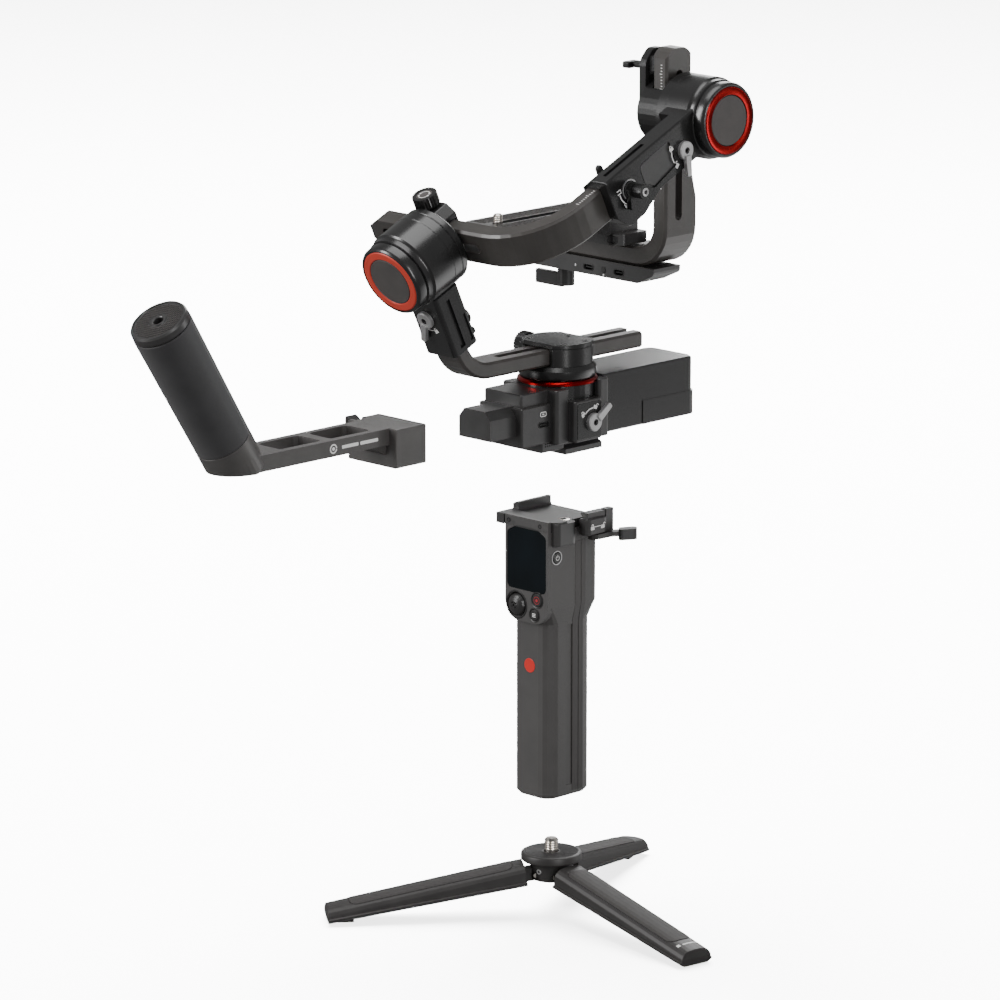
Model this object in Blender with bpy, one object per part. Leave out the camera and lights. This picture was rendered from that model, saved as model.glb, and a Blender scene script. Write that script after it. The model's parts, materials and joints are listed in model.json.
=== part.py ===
"""Modular three-axis camera gimbal stabilizer, laid out as its four separated modules.

The design frame has +Y forward (the way the lens looks), +X to the user's right and +Z up.
The pan axis is x = y = 0 and the tripod feet stand on z = 0. Every dimension is in
millimetres; add() and pivot() turn them into metres. At the end the whole assembly is moved
so that the world origin is the centre of its footprint, on the floor.
"""
import math

import bmesh
import bpy
from mathutils import Matrix, Vector

MM = 0.001
GAP = 0.3                      # clearance between pieces that touch or slide
ROUND = 36                     # sides of the large turned pieces
SMALL_ROUND = 20               # sides of screws, buttons and pins

# tripod
TRIPOD_Y = -4.8                # tripod and grip axis, behind the pan axis
HUB_RADIUS = 20.6
HUB_TOP = 43.3
HUB_DISC = 5.8                 # thickness of the top disc
HUB_BOTTOM = 24.5
BARREL_RADIUS = 14.5
LEG_AZIMUTHS = (113.0, 233.0, 353.0)
LEG_HINGE = (12.0, 28.5)       # radius and height of each leg hinge
LEG_SLOPE = 8.8                # degrees below the horizontal
LEG_LENGTH = 143.5
LEG_TOP = 9.8                  # height of a leg's ridge over its hinge line
LEG_TAPER = 0.0345             # fall of the ridge for each millimetre outward
LEG_BOTTOM = -5.8
LEG_DOME = ((0.0, 0.0), (4.0, 0.15), (7.0, 0.6), (9.2, 1.4), (11.0, 2.9), (12.2, 5.0))
TONGUE = 8.0                   # width of the leg tongue in the hub
SCREW_38 = 4.76                # radius of the 3/8 inch thread
SCREW_38_TOP = 52.5

# grip
GRIP_BOTTOM = 85.5
GRIP_NECK = 206.5              # top of the slim part
GRIP_TOP = 270.7               # top of the shells, under the clamp plate
GRIP_LOW = (-17.5, 17.5, -26.2, 17.0)
GRIP_HEAD = (-20.0, 20.0, -29.1, 18.4)
GRIP_SEAM = 2.5                # y of the joint between the two shells
PANEL_Y = -29.1

# clamp on the grip
PLATE_LOW = 271.0
PLATE_TOP = 278.0
DOVETAIL_FLOOR = 276.5
JAW_TOP = 282.6

# pan base
BASE_LOW = 331.5
DOVETAIL_LOW = 321.8
BATTERY = (-21.0, 21.0, 22.0, 111.0)
BATTERY_TOP = 371.5
MOTOR_TOP = 368.5
STUB_END = -77.7
STUB_HALF = 14.45
STUB_LOW = 340.0
STUB_TOP = 359.5

# pan rotor and pan arm
RING_RADIUS = 27.05
ROTOR_DISC_TOP = 381.0
HUB_PLATE_TOP = 396.0
ARM_WIDTH = 22.5
ARM_THICK = 10.8
ARM_Z = 387.0                  # centre height of the horizontal bar
ARM_FRONT = 69.5
ARM_BEND = 27.0                # centre-line radius of the bend
UPRIGHT_S = 28.0               # upright's centre line along the roll axis
UPRIGHT_TOP_V = 34.0

# roll module: frame at the motor's face, local z along the roll axis
ROLL_FACE = (0.0, -154.0, 455.7)
ROLL_INCLINE = 25.0
MOTOR_LENGTH = 40.4
ROLL_ARM_S = 54.0
ROLL_ARM_HEIGHT = 24.4
ROLL_ARM_THICK = 12.7
ROLL_ARM_LEFT = -62.0
SECOND_X = 86.2                # centre line of the forward section
ROLL_BEND = 42.0
SECOND_END_S = 172.0

# tilt module
TILT_S = 222.6                 # tilt axis along the roll axis
TILT_FACE_X = 109.1
TILT_ARM_X = 58.15
TILT_ARM_HALF = 12.2
TILT_ARM_THICK = 12.7
TILT_ARM_TOP = 593.7
TILT_BEND = 21.0
TRAY_BAR_Z = 451.85
TRAY_LEFT = -61.0

# camera plate
PLATE_HALF = 21.0
PLATE_REAR = -68.0
PLATE_FRONT = 50.0
CAMERA_PLATE_LOW = 474.3
CAMERA_PLATE_TOP = 481.3
CAMERA_SCREW_Y = -56.0
SCREW_14 = 3.17                # radius of the 1/4 inch thread

# side handle
HANDLE_FRONT = -143.7
HANDLE_BACK = -171.0
HANDLE_LOW = 338.3
HANDLE_TOP = 364.2
TUBE_BASE = (-295.0, 364.2)    # y and z where the tube leaves the arm
TUBE_END = (-354.2, 459.4)     # y and z of the tube's top centre
TUBE_RADIUS = 19.35

WORLD = Matrix.Identity(4)
SCALE = Matrix.Scale(MM, 4)
rest = {}                      # rest matrix of every pivot, by object name


def clear_scene():
    for thing in list(bpy.data.objects):
        bpy.data.objects.remove(thing)


# ---------------------------------------------------------------- materials

def material(name, colour, roughness, metallic=0.0):
    made = bpy.data.materials.new(name)
    made.use_nodes = True
    shader = made.node_tree.nodes["Principled BSDF"]
    shader.inputs["Base Color"].default_value = (*colour, 1.0)
    shader.inputs["Roughness"].default_value = roughness
    shader.inputs["Metallic"].default_value = metallic
    made.diffuse_color = (*colour, 1.0)
    return made


def make_materials():
    return {
        "aluminium": material("black_anodised_aluminium", (0.030, 0.029, 0.029), 0.42, 0.85),
        "plastic": material("dark_soft_touch_plastic", (0.048, 0.046, 0.046), 0.55),
        "gloss": material("black_gloss_plastic", (0.012, 0.012, 0.013), 0.25),
        "rubber": material("charcoal_rubber", (0.055, 0.050, 0.047), 0.85),
        "foam": material("black_foam_rubber", (0.030, 0.030, 0.032), 0.80),
        "glass": material("dark_display_glass", (0.004, 0.007, 0.009), 0.08),
        "red": material("red_anodised_aluminium", (0.62, 0.035, 0.022), 0.35, 0.6),
        "steel": material("bright_steel", (0.62, 0.60, 0.57), 0.28, 1.0),
        "silver": material("satin_silver", (0.55, 0.56, 0.57), 0.38, 0.9),
        "cell": material("battery_wrap", (0.05, 0.16, 0.30), 0.5),
    }


# ---------------------------------------------------------------- flat outlines

def arc(centre, radius, start, end, steps):
    """Points on an arc, both ends included; angles in degrees."""
    points = []
    for step in range(steps + 1):
        angle = math.radians(start + (end - start) * step / steps)
        points.append((centre[0] + radius * math.cos(angle), centre[1] + radius * math.sin(angle)))
    return points


def circle(radius, sides=SMALL_ROUND, centre=(0.0, 0.0)):
    return arc(centre, radius, 0.0, 360.0 - 360.0 / sides, sides - 1)


def rounded(x0, x1, y0, y1, radius, steps=3):
    """Rectangle with round corners."""
    corners = ((x1, y1, 0), (x0, y1, 90), (x0, y0, 180), (x1, y0, 270))
    points = []
    for x, y, start in corners:
        inward_x = -radius if x == x1 else radius
        inward_y = -radius if y == y1 else radius
        points += arc((x + inward_x, y + inward_y), radius, start, start + 90, steps)
    return points


def rectangle(x0, x1, y0, y1):
    return [(x0, y0), (x1, y0), (x1, y1), (x0, y1)]


def filleted(corners, steps=3):
    """Outline through corners (u, v, radius), each rounded to its own radius."""
    points = []
    count = len(corners)
    for index, (u, v, radius) in enumerate(corners):
        here = Vector((u, v))
        if radius <= 0:
            points.append((u, v))
            continue
        before = (Vector(corners[index - 1][:2]) - here).normalized()
        after = (Vector(corners[(index + 1) % count][:2]) - here).normalized()
        half = before.angle(after) / 2
        reach = radius / math.tan(half)
        centre = here + (before + after).normalized() * (radius / math.sin(half))
        first = here + before * reach - centre
        turn = first.angle_signed(here + after * reach - centre)
        for step in range(steps + 1):
            angle = -turn * step / steps
            spin = Matrix.Rotation(angle, 2)
            points.append(tuple(centre + spin @ first))
    return points


def knurled(radius, depth, teeth):
    """Round outline with a tooth and a valley in turn."""
    points = []
    for index in range(teeth * 2):
        reach = radius - (depth if index % 2 else 0.0)
        angle = math.pi * index / teeth
        points.append((reach * math.cos(angle), reach * math.sin(angle)))
    return points


# ---------------------------------------------------------------- solids

def loft(rings):
    """Closed solid through rings that have the same number of points."""
    shape = bmesh.new()
    loops = [[shape.verts.new(point) for point in ring] for ring in rings]
    count = len(loops[0])
    for low, high in zip(loops, loops[1:]):
        for index in range(count):
            after = (index + 1) % count
            shape.faces.new((low[index], low[after], high[after], high[index]))
    shape.faces.new(loops[0][::-1])
    shape.faces.new(loops[-1])
    return shape


def prism(outline, low, high, axis="z"):
    """Outline pushed straight along an axis; it lies in the other two axes, in their order."""
    def place(point, height):
        u, v = point
        return {"x": (height, u, v), "y": (u, height, v), "z": (u, v, height)}[axis]
    return loft([[place(point, height) for point in outline] for height in (low, high)])


def chamfered(outline_at, low, high, edge, axis="z"):
    """Prism whose two ends are drawn in by edge; outline_at(inset) gives the outline."""
    def place(point, height):
        u, v = point
        return {"x": (height, u, v), "y": (u, height, v), "z": (u, v, height)}[axis]
    levels = ((edge, low), (0.0, low + edge), (0.0, high - edge), (edge, high))
    return loft([[place(point, height) for point in outline_at(inset)]
                 for inset, height in levels])


def soft_box(x0, x1, y0, y1, z0, z1, radius, edge, axis="z"):
    """Box with round corners about an axis and chamfered ends."""
    spans = {"x": (y0, y1, z0, z1), "y": (x0, x1, z0, z1), "z": (x0, x1, y0, y1)}[axis]
    low, high = {"x": (x0, x1), "y": (y0, y1), "z": (z0, z1)}[axis]

    def outline_at(inset):
        u0, u1, v0, v1 = spans
        return rounded(u0 + inset, u1 - inset, v0 + inset, v1 - inset, radius - inset)
    return chamfered(outline_at, low, high, edge, axis)


def box(x0, x1, y0, y1, z0, z1):
    return prism(rectangle(x0, x1, y0, y1), z0, z1)


def turned(profile, sides=ROUND, axis="z", centre=(0.0, 0.0, 0.0)):
    """Solid of revolution of a closed profile of (radius, height) points."""
    shape = bmesh.new()
    loops = []
    for radius, height in profile:
        if radius < 1e-6:
            ring = [(0.0, 0.0)]
        else:
            ring = circle(radius, sides)
        loop = []
        for u, v in ring:
            point = {"x": (height, u, v), "y": (v, height, u), "z": (u, v, height)}[axis]
            loop.append(shape.verts.new(Vector(point) + Vector(centre)))
        loops.append(loop)
    for first, second in zip(loops, loops[1:] + loops[:1]):
        if len(first) == 1 and len(second) == 1:
            continue
        for index in range(sides):
            after = (index + 1) % sides
            corners = [first[index % len(first)], first[after % len(first)],
                       second[after % len(second)], second[index % len(second)]]
            shape.faces.new(list(dict.fromkeys(corners)))
    return shape


def rod(radius, low, high, sides=SMALL_ROUND, axis="z", centre=(0.0, 0.0, 0.0)):
    return turned([(0.0, low), (radius, low), (radius, high), (0.0, high)], sides, axis, centre)


def thread_profile(radius, low, high, ridges, pitch, depth):
    """Profile of a screw whose uppermost turns of thread are drawn as ridges."""
    points = [(0.0, low), (radius - depth, low)]
    for index in range(ridges, 0, -1):
        start = high - pitch * (index + 0.4)
        points += [(radius, start + pitch * 0.35), (radius, start + pitch * 0.6)]
        points += [(radius - depth, start + pitch * 0.95)]
    points += [(radius - depth, high - 0.5), (radius - depth - 0.5, high), (0.0, high)]
    return points


def bend_path(start, corner, end, radius, steps):
    """Centre line start - corner - end with a round bend; gives points and tangents."""
    start, corner, end = Vector(start), Vector(corner), Vector(end)
    come = (corner - start).normalized()
    leave = (end - corner).normalized()
    turn = come.angle_signed(leave)
    reach = radius * math.tan(abs(turn) / 2)
    path = [(start, come)]
    side = Vector((-come.y, come.x)) * (-1 if turn > 0 else 1)
    centre = corner - come * reach + side * radius
    for step in range(steps + 1):
        spin = Matrix.Rotation(-turn * step / steps, 2)
        path.append((centre - spin @ side * radius, spin @ come))
    path.append((end, leave))
    return path


def sweep(section, path, plane):
    """Section (across, up) carried along a flat path; plane is "yz" or "xz"."""
    rings = []
    for point, tangent in path:
        up = Vector((-tangent.y, tangent.x))
        ring = []
        for across, rise in section:
            u, v = point + up * rise
            ring.append((across, u, v) if plane == "yz" else (u, across, v))
        rings.append(ring)
    return loft(rings)


def bar_section(width, thick, edge, groove=0.0, depth=0.0):
    """Flat bar with chamfered edges and, when groove is given, a groove on its upper face."""
    w, t = width / 2, thick / 2
    points = [(w - edge, -t), (w, -t + edge), (w, t - edge), (w - edge, t)]
    if groove:
        points += [(groove / 2, t), (groove / 2, t - depth)]
        points += [(-groove / 2, t - depth), (-groove / 2, t)]
    points += [(-w + edge, t), (-w, t - edge), (-w, -t + edge), (-w + edge, -t)]
    return points


def sliced(shape, point, normal):
    """Keeps the part of a solid behind a plane and closes it."""
    parts = shape.verts[:] + shape.edges[:] + shape.faces[:]
    cut_line = bmesh.ops.bisect_plane(shape, geom=parts, plane_co=point, plane_no=normal,
                                      clear_outer=True)["geom_cut"]
    edges = [item for item in cut_line if isinstance(item, bmesh.types.BMEdge)]
    bmesh.ops.contextual_create(shape, geom=edges)
    return shape


# ---------------------------------------------------------------- scene objects

def pivot(name, location, parent=None):
    """Empty on a joint's axis; its location is given in the design frame."""
    empty = bpy.data.objects.new(name, None)
    empty.empty_display_size = 0.01
    bpy.context.scene.collection.objects.link(empty)
    attach(empty, Matrix.Translation(Vector(location) * MM), parent)
    rest[name] = empty.matrix_basis.copy()
    return empty


def attach(item, basis, parent):
    item.matrix_basis = basis
    if parent is not None:
        item.parent = parent
        item.matrix_parent_inverse = rest[parent.name].inverted()


def frame(origin, rotation):
    """Local frame at an origin in millimetres; children hold metres."""
    return Matrix.Translation(Vector(origin) * MM) @ rotation


def write_object(name, shape, basis, parent):
    bmesh.ops.recalc_face_normals(shape, faces=shape.faces)
    bmesh.ops.transform(shape, matrix=SCALE, verts=shape.verts)
    mesh = bpy.data.meshes.new(name)
    shape.to_mesh(mesh)
    shape.free()
    item = bpy.data.objects.new(name, mesh)
    bpy.context.scene.collection.objects.link(item)
    attach(item, basis, parent)
    return item


def add(name, shape, finish, parent, basis=WORLD):
    item = write_object(name, shape, basis, parent)
    item.data.materials.append(finish)
    item.data.shade_smooth()
    item.data.set_sharp_from_angle(angle=math.radians(32))
    return item


def boolean(item, shape, operation, basis=None):
    """Boolean with a hidden tool that stays in the scene beside its target."""
    base = item.matrix_basis.copy() if basis is None else basis
    tool = write_object(f"{item.name}.{operation.lower()}.{len(item.modifiers)}", shape, base,
                        item.parent)
    tool.hide_render = True
    tool.display_type = "WIRE"
    step = item.modifiers.new(operation.title(), "BOOLEAN")
    step.operation = operation
    step.solver = "EXACT"
    step.object = tool


def cut(item, shape, basis=None):
    boolean(item, shape, "DIFFERENCE", basis)


def fuse(item, shape, basis=None):
    boolean(item, shape, "UNION", basis)


# ---------------------------------------------------------------- tripod

def leg_frame(azimuth):
    """Frame of a leg: origin on its hinge, local x out along the leg, local y the hinge."""
    turn = math.radians(azimuth)
    radius, height = LEG_HINGE
    origin = (radius * math.cos(turn), TRIPOD_Y + radius * math.sin(turn), height)
    spin = Matrix.Rotation(turn, 4, "Z") @ Matrix.Rotation(math.radians(LEG_SLOPE), 4, "Y")
    return frame(origin, spin)


def leg_dome(x, y, lift=0.0):
    """Height of a leg's domed top, x out along the leg and y off its middle."""
    for (near, drop), (far, lower) in zip(LEG_DOME, LEG_DOME[1:]):
        if abs(y) <= far:
            break
    share = (abs(y) - near) / (far - near)
    return LEG_TOP - LEG_TAPER * x - drop - share * (lower - drop) + lift


def leg_section(x):
    half = [(9.8, LEG_BOTTOM), (12.0, -4.7), (13.4, -3.7), (13.4, -2.6), (12.4, -2.0)]
    half += [(y, leg_dome(x, y)) for y, drop in reversed(LEG_DOME)]
    ring = half + [(-y, z) for y, z in reversed(half[:-1])]
    return [(x, y, z) for y, z in ring]


def leg_bed(x):
    """Section of the floor under a leg's pad."""
    half = [(10.4, -1.6)] + [(y, leg_dome(x, y, -1.3)) for y in (10.4, 9.2, 7.0, 4.0, 0.0)]
    ring = half + [(-y, z) for y, z in reversed(half[:-1])]
    return [(x, y, z) for y, z in ring]


def leg_pad_rings():
    """Sections of the pad, which follows the dome and has round corners."""
    low, high, half, corner = 14.0 + GAP, 127.0 - GAP, 9.5 - GAP, 4.7
    places = [(corner * (1 - math.cos(math.radians(a))), corner * (1 - math.sin(math.radians(a))))
              for a in (0, 25, 50, 75, 90)]
    spans = [(low + step, half - inset) for step, inset in places]
    spans += [(high - step, half - inset) for step, inset in reversed(places)]
    rings = []
    for x, width in spans:
        across = [width * share for share in (-1.0, -0.78, -0.45, 0.0, 0.45, 0.78, 1.0)]
        ring = [(x, y, leg_dome(x, y, -1.0)) for y in across]
        ring += [(x, y, leg_dome(x, y, 0.35)) for y in reversed(across)]
        rings.append(ring)
    return rings


def tripod_leg(number, azimuth, finish, root):
    basis = leg_frame(azimuth)
    hinge = pivot(f"leg_hinge_{number}", basis.translation / MM, root)
    body = loft([leg_section(6.6), leg_section(LEG_LENGTH)])
    body = sliced(body, (LEG_LENGTH - 1.5, 0, 4.8), (0.97, 0, 0.24))
    leg = add(f"tripod_leg_{number}", body, finish["plastic"], hinge, basis)
    recess = rounded(14.0, 127.0, -9.5, 9.5, 5.0, 4)
    cut(leg, prism(recess, -1.0, LEG_TOP + 3))
    fuse(leg, loft([leg_bed(10.0), leg_bed(LEG_LENGTH - 8.0)]))
    tongue = filleted([(-4.4, -4.4, 4.3), (9.0, -4.4, 0), (9.0, 4.4, 0), (-4.4, 4.4, 4.3)])
    fuse(leg, prism(tongue, -TONGUE / 2, TONGUE / 2, "y"))
    floor_at_126 = -9.33
    foot = [(126.0, LEG_BOTTOM + 1), (126.0, floor_at_126), (137.0, -7.63), (137.0, LEG_BOTTOM + 1)]
    fuse(leg, prism(foot, -5.0, 5.0, "y"))
    cut(leg, rod(1.8, -6, 6, 12, "y"))
    add(f"leg_pad_{number}", loft(leg_pad_rings()), finish["rubber"], hinge, basis)
    flat = frame(basis.translation / MM, Matrix.Rotation(math.radians(azimuth), 4, "Z"))
    add(f"hinge_pin_{number}", rod(1.5, -8.2, 8.2, 12, "y"), finish["steel"], root, flat)


def tripod(finish, root):
    low, top = HUB_BOTTOM, HUB_TOP
    disc = top - HUB_DISC
    profile = [(5.2, low + 6), (5.2, top), (HUB_RADIUS - 1.6, top), (HUB_RADIUS, top - 1.4),
               (HUB_RADIUS, disc + 0.8), (HUB_RADIUS - 0.8, disc), (BARREL_RADIUS + 0.3, disc),
               (BARREL_RADIUS, disc - 1), (BARREL_RADIUS, low + 1), (BARREL_RADIUS - 1, low),
               (0.0, low), (0.0, low + 6)]
    centre = (0.0, TRIPOD_Y, 0.0)
    hub = add("tripod_hub", turned(profile, 36, centre=centre), finish["plastic"], root)
    for azimuth in LEG_AZIMUTHS:
        spin = frame((0, TRIPOD_Y, 0), Matrix.Rotation(math.radians(azimuth), 4, "Z"))
        cut(hub, box(7.0, 30, -TONGUE / 2 - GAP, TONGUE / 2 + GAP, low - 5, 34.2), spin)
        cut(hub, rod(1.8, -8.6, 8.6, 12, "y", (LEG_HINGE[0], 0, LEG_HINGE[1])), spin)
    screw = thread_profile(SCREW_38, low + 6.5, SCREW_38_TOP, 5, 1.59, 0.6)
    add("tripod_screw", turned(screw, 16, centre=centre), finish["steel"], root)
    for number, azimuth in enumerate(LEG_AZIMUTHS, 1):
        tripod_leg(number, azimuth, finish, root)


# ---------------------------------------------------------------- grip

def grip_ring(spans, radius, z, inset=0.0):
    x0, x1, y0, y1 = spans
    outline = rounded(x0 + inset, x1 - inset, y0 + inset, y1 - inset, radius - inset * 0.5, 4)
    return [(x, y, z) for x, y in outline]


def grip_body():
    low, head = GRIP_LOW, GRIP_HEAD
    middle = tuple((a + b) / 2 for a, b in zip(low, head))
    return loft([grip_ring(low, 9.0, GRIP_BOTTOM, 2.2), grip_ring(low, 9.5, GRIP_BOTTOM + 2.4),
                 grip_ring(low, 9.5, GRIP_NECK), grip_ring(middle, 7.0, GRIP_NECK + 6),
                 grip_ring(head, 4.0, GRIP_NECK + 12), grip_ring(head, 3.5, GRIP_TOP)])


def grip_shell(name, finish, body, normal, side):
    shape = sliced(grip_body(), (0, GRIP_SEAM + side * GAP / 2, 0), normal)
    shell = add(name, shape, finish["plastic"], body)
    x0, x1, y0, y1 = GRIP_LOW
    wall = 2.6
    slim = rounded(x0 + wall, x1 - wall, y0 + wall, y1 - wall, 6.0)
    cut(shell, prism(slim, GRIP_BOTTOM + 14, GRIP_NECK + 5))
    x0, x1, y0, y1 = GRIP_HEAD
    head = rounded(x0 + wall, x1 - wall, y0 + 9.0, y1 - wall, 2.0)
    cut(shell, prism(head, GRIP_NECK + 4, GRIP_TOP - 3))
    cut(shell, rod(8.3, GRIP_BOTTOM - 1, GRIP_BOTTOM + 15, 24, centre=(0, TRIPOD_Y, 0)))
    return shell


def grip_controls(finish, body, shell):
    """Panel on the rear face with display, joystick and buttons."""
    panel = filleted([(-20, 207, 13), (20, 207, 13), (20, 270.7, 1), (-20, 270.7, 1)], 5)
    fuse(shell, prism(panel, PANEL_Y, PANEL_Y + 8, "y"))
    fuse(shell, box(-20, 20, PANEL_Y, PANEL_Y + 3, 268, 278.4))
    glass = filleted([(-18.2, 228.5, 4), (18.2, 228.5, 4), (18.2, 267.5, 3), (9, 272.6, 12),
                      (-9, 272.6, 12), (-18.2, 267.5, 3)], 4)
    cut(shell, prism(glass, PANEL_Y - 1, PANEL_Y + 1.8, "y"))
    inner = [(x * 0.984, 250.5 + (z - 250.5) * 0.986) for x, z in glass]
    add("display_window", prism(inner, PANEL_Y + 0.3, PANEL_Y + 1.5, "y"), finish["glass"], body)

    stick = (-9.2, 217.8)
    cut(shell, rod(8.6, PANEL_Y - 1, PANEL_Y + 8, 28, "y", (stick[0], 0, stick[1])))
    centre = (stick[0], PANEL_Y + 4.0, stick[1])
    cradle = pivot("joystick_cradle_pivot", centre, body)
    ring = [(6.2, -0.6), (7.8, -0.6), (7.8, 1.4), (6.2, 1.4)]
    add("joystick_cradle", turned(ring, 20, "y", centre), finish["steel"], cradle)
    thumb = pivot("joystick_pivot", centre, cradle)
    dome = [(0.0, 2.4), (4.6, 2.4), (4.6, -1.7), (7.4, -2.6), (7.6, -3.6), (6.6, -5.2), (4.6, -6.4),
            (2.6, -6.9), (2.0, -6.3), (0.0, -6.1)]
    add("joystick", turned(dome, 24, "y", centre), finish["plastic"], thumb)

    for name, x, z, radius in (("record_button", 10.2, 223.8, 4.6), ("mode_button", 7.6, 213.2, 3.9)):
        cut(shell, rod(radius + GAP, PANEL_Y - 1, PANEL_Y + 4, 22, "y", (x, 0, z)))
        slide = pivot(f"{name}_slide", (x, PANEL_Y, z), body)
        cap = [(0.0, 2.4), (radius, 2.4), (radius, -0.2), (radius - 0.6, -0.7), (0.0, -0.7)]
        add(name, turned(cap, 22, "y", (x, PANEL_Y, z)), finish["plastic"], slide)

    y, z = -20.6, 253.2
    cut(shell, rod(4.3, GRIP_HEAD[1] - 3.4, 30, 22, "x", (0, y, z)))
    slide = pivot("side_button_slide", (GRIP_HEAD[1], y, z), body)
    cap = [(0.0, -1.8), (4.0, -1.8), (4.0, 0.3), (3.4, 0.8), (0.0, 0.8)]
    add("side_button", turned(cap, 22, "x", (GRIP_HEAD[1], y, z)), finish["plastic"], slide)
    for side in (-1, 1):
        low, high = sorted((side * 16.9, side * 30))
        cut(shell, box(low, high, -8.6, GRIP_SEAM - 1.2, GRIP_BOTTOM + 8, GRIP_NECK - 2))


def trigger(finish, body, shell):
    front, z = GRIP_HEAD[3], 226.0
    cut(shell, box(-6.3, 6.3, front - 3.8, front + 2, z - 7.3, z + 7.3))
    slide = pivot("trigger_slide", (0, front, z), body)
    side_view = filleted([(front - 1.3, z - 7, 0.3), (front + 2.4, z - 7, 1.5), (front + 4.2, z + 1, 3),
                          (front + 2.0, z + 7, 1.5), (front - 1.3, z + 7, 0.3)], 3)
    add("trigger", prism(side_view, -6, 6, "x"), finish["plastic"], slide)


def clamp_plate(finish, body):
    """Machined plate that closes the grip's top and takes the base's dovetail."""
    low, top = PLATE_LOW, PLATE_TOP
    outline = filleted([(-20, -26, 0), (20, -26, 3), (24, -22, 3), (24, -9, 3), (18, -5, 3),
                        (18, 18.3, 3), (-28.7, 18.3, 1.5), (-28.7, -25.9, 1.0), (-20, -25.9, 0)])
    plate = add("clamp_plate", prism(outline, low, top), finish["aluminium"], body)
    fuse(plate, soft_box(15.5, 24.6, -25.7, -5.5, 261.5, 277.2, 4.0, 0.5))
    cut(plate, box(10, 20.35, -30, 0, 255, PLATE_LOW - 0.01))
    fuse(plate, box(-28.7, -21.5, -28.8, -25, low, top))
    lip = [(-28.7, top - 1), (-22.0, top - 1), (-19.6, JAW_TOP - 0.8), (-20.2, JAW_TOP),
           (-26.5, JAW_TOP), (-28.7, JAW_TOP - 1.5)]
    fuse(plate, prism(lip, -13.0, 17.8, "y"))
    cut(plate, box(-23.3, 30, -15.0, 30, DOVETAIL_FLOOR, 290))
    cut(plate, box(18.3, 40, -4.8, 30, 255, 290))


def clamp_jaw(finish, body):
    """Movable jaw, shown open, and the lever that closes it."""
    slide = pivot("jaw_slide", (24.0, 7.0, PLATE_TOP), body)
    block = chamfered(lambda inset: filleted(
        [(22.5 + inset, -3.6 + inset, 3), (31.2 - inset, -3.6 + inset, 4),
         (31.2 - inset, 17.4 - inset, 4), (22.5 + inset, 17.4 - inset, 1)]), 266.6, 277.6, 0.6)
    jaw = add("clamp_jaw", block, finish["aluminium"], slide)
    lip = [(23.0, 277.0), (29.0, 277.0), (29.0, 281.4), (22.6, 281.4), (21.6, 280.7), (24.6, 277.0)]
    fuse(jaw, prism(lip, 0.0, 17.0, "y"))
    fuse(jaw, box(24.5, 29.5, 16.5, 23.5, 266.6, 282.0))
    swing = pivot("jaw_lever_pivot", (26.5, 8.0, 265.0), slide)
    outline = filleted([(22.6, 4.0, 4), (31.0, 3.0, 4), (32.0, 20.0, 10), (41.0, 32.0, 2),
                        (36.5, 37.5, 3), (24.6, 22.0, 10)], 3)
    lever = add("jaw_lever", prism(outline, 262.9, 266.2), finish["aluminium"], swing)
    tab = filleted([(31.0, 27.0, 2), (36.5, 21.5, 2), (42.5, 33.0, 2.5), (37.0, 38.5, 2.5)], 3)
    fuse(lever, prism(tab, 260.6, 268.0))


def grip(finish, root):
    body = pivot("grip_lift", (0, TRIPOD_Y, GRIP_BOTTOM), root)
    rear = grip_shell("grip_rear_shell", finish, body, (0, 1, 0), -1)
    front = grip_shell("grip_front_shell", finish, body, (0, -1, 0), 1)
    grip_controls(finish, body, rear)
    trigger(finish, body, front)
    bush = [(5.1, GRIP_BOTTOM + 0.1), (8.0, GRIP_BOTTOM + 0.1), (8.0, GRIP_BOTTOM + 13.6),
            (0.0, GRIP_BOTTOM + 13.6), (0.0, GRIP_BOTTOM + 12.0), (5.1, GRIP_BOTTOM + 12.0)]
    add("tripod_socket", turned(bush, 24, centre=(0, TRIPOD_Y, 0)), finish["steel"], body)
    clamp_plate(finish, body)
    clamp_jaw(finish, body)
    return body


# ---------------------------------------------------------------- shared motor parts

def motor_shell():
    """Cup-shaped motor housing along local z, its face at z = 0."""
    end = MOTOR_LENGTH
    return turned([(22.7, 0.0), (23.4, 0.0), (24.8, 2.2), (24.8, 7.4), (24.0, 8.0), (25.6, 8.6),
                   (25.6, 12.4), (27.0, 13.8), (27.0, end), (23.6, end), (23.6, 15.0), (5.0, 15.0),
                   (5.0, 2.6), (22.7, 2.6)])


def motor_trim(prefix, finish, body, basis):
    """Red ring and centre cap on a motor's face."""
    ring = [(16.8, 2.3), (16.8, 0.0), (17.3, -0.3), (21.6, -0.3), (22.4, 0.3), (22.4, 2.3)]
    add(f"{prefix}_ring", turned(ring), finish["red"], body, basis)
    cap = [(0.0, 2.3), (0.0, -0.2), (16.1, -0.2), (16.5, 0.1), (16.5, 2.3)]
    add(f"{prefix}_cap", turned(cap), finish["plastic"], body, basis)


def rotor_profile(disc_radius, disc_low, disc_high):
    """Rotor drum inside the housing, its shaft and the disc outside."""
    return [(0.0, 3.2), (4.6, 3.2), (4.6, 16.0), (22.9, 16.0), (22.9, disc_low),
            (disc_radius, disc_low), (disc_radius, disc_high - 0.8),
            (disc_radius - 0.8, disc_high), (0.0, disc_high)]


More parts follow.
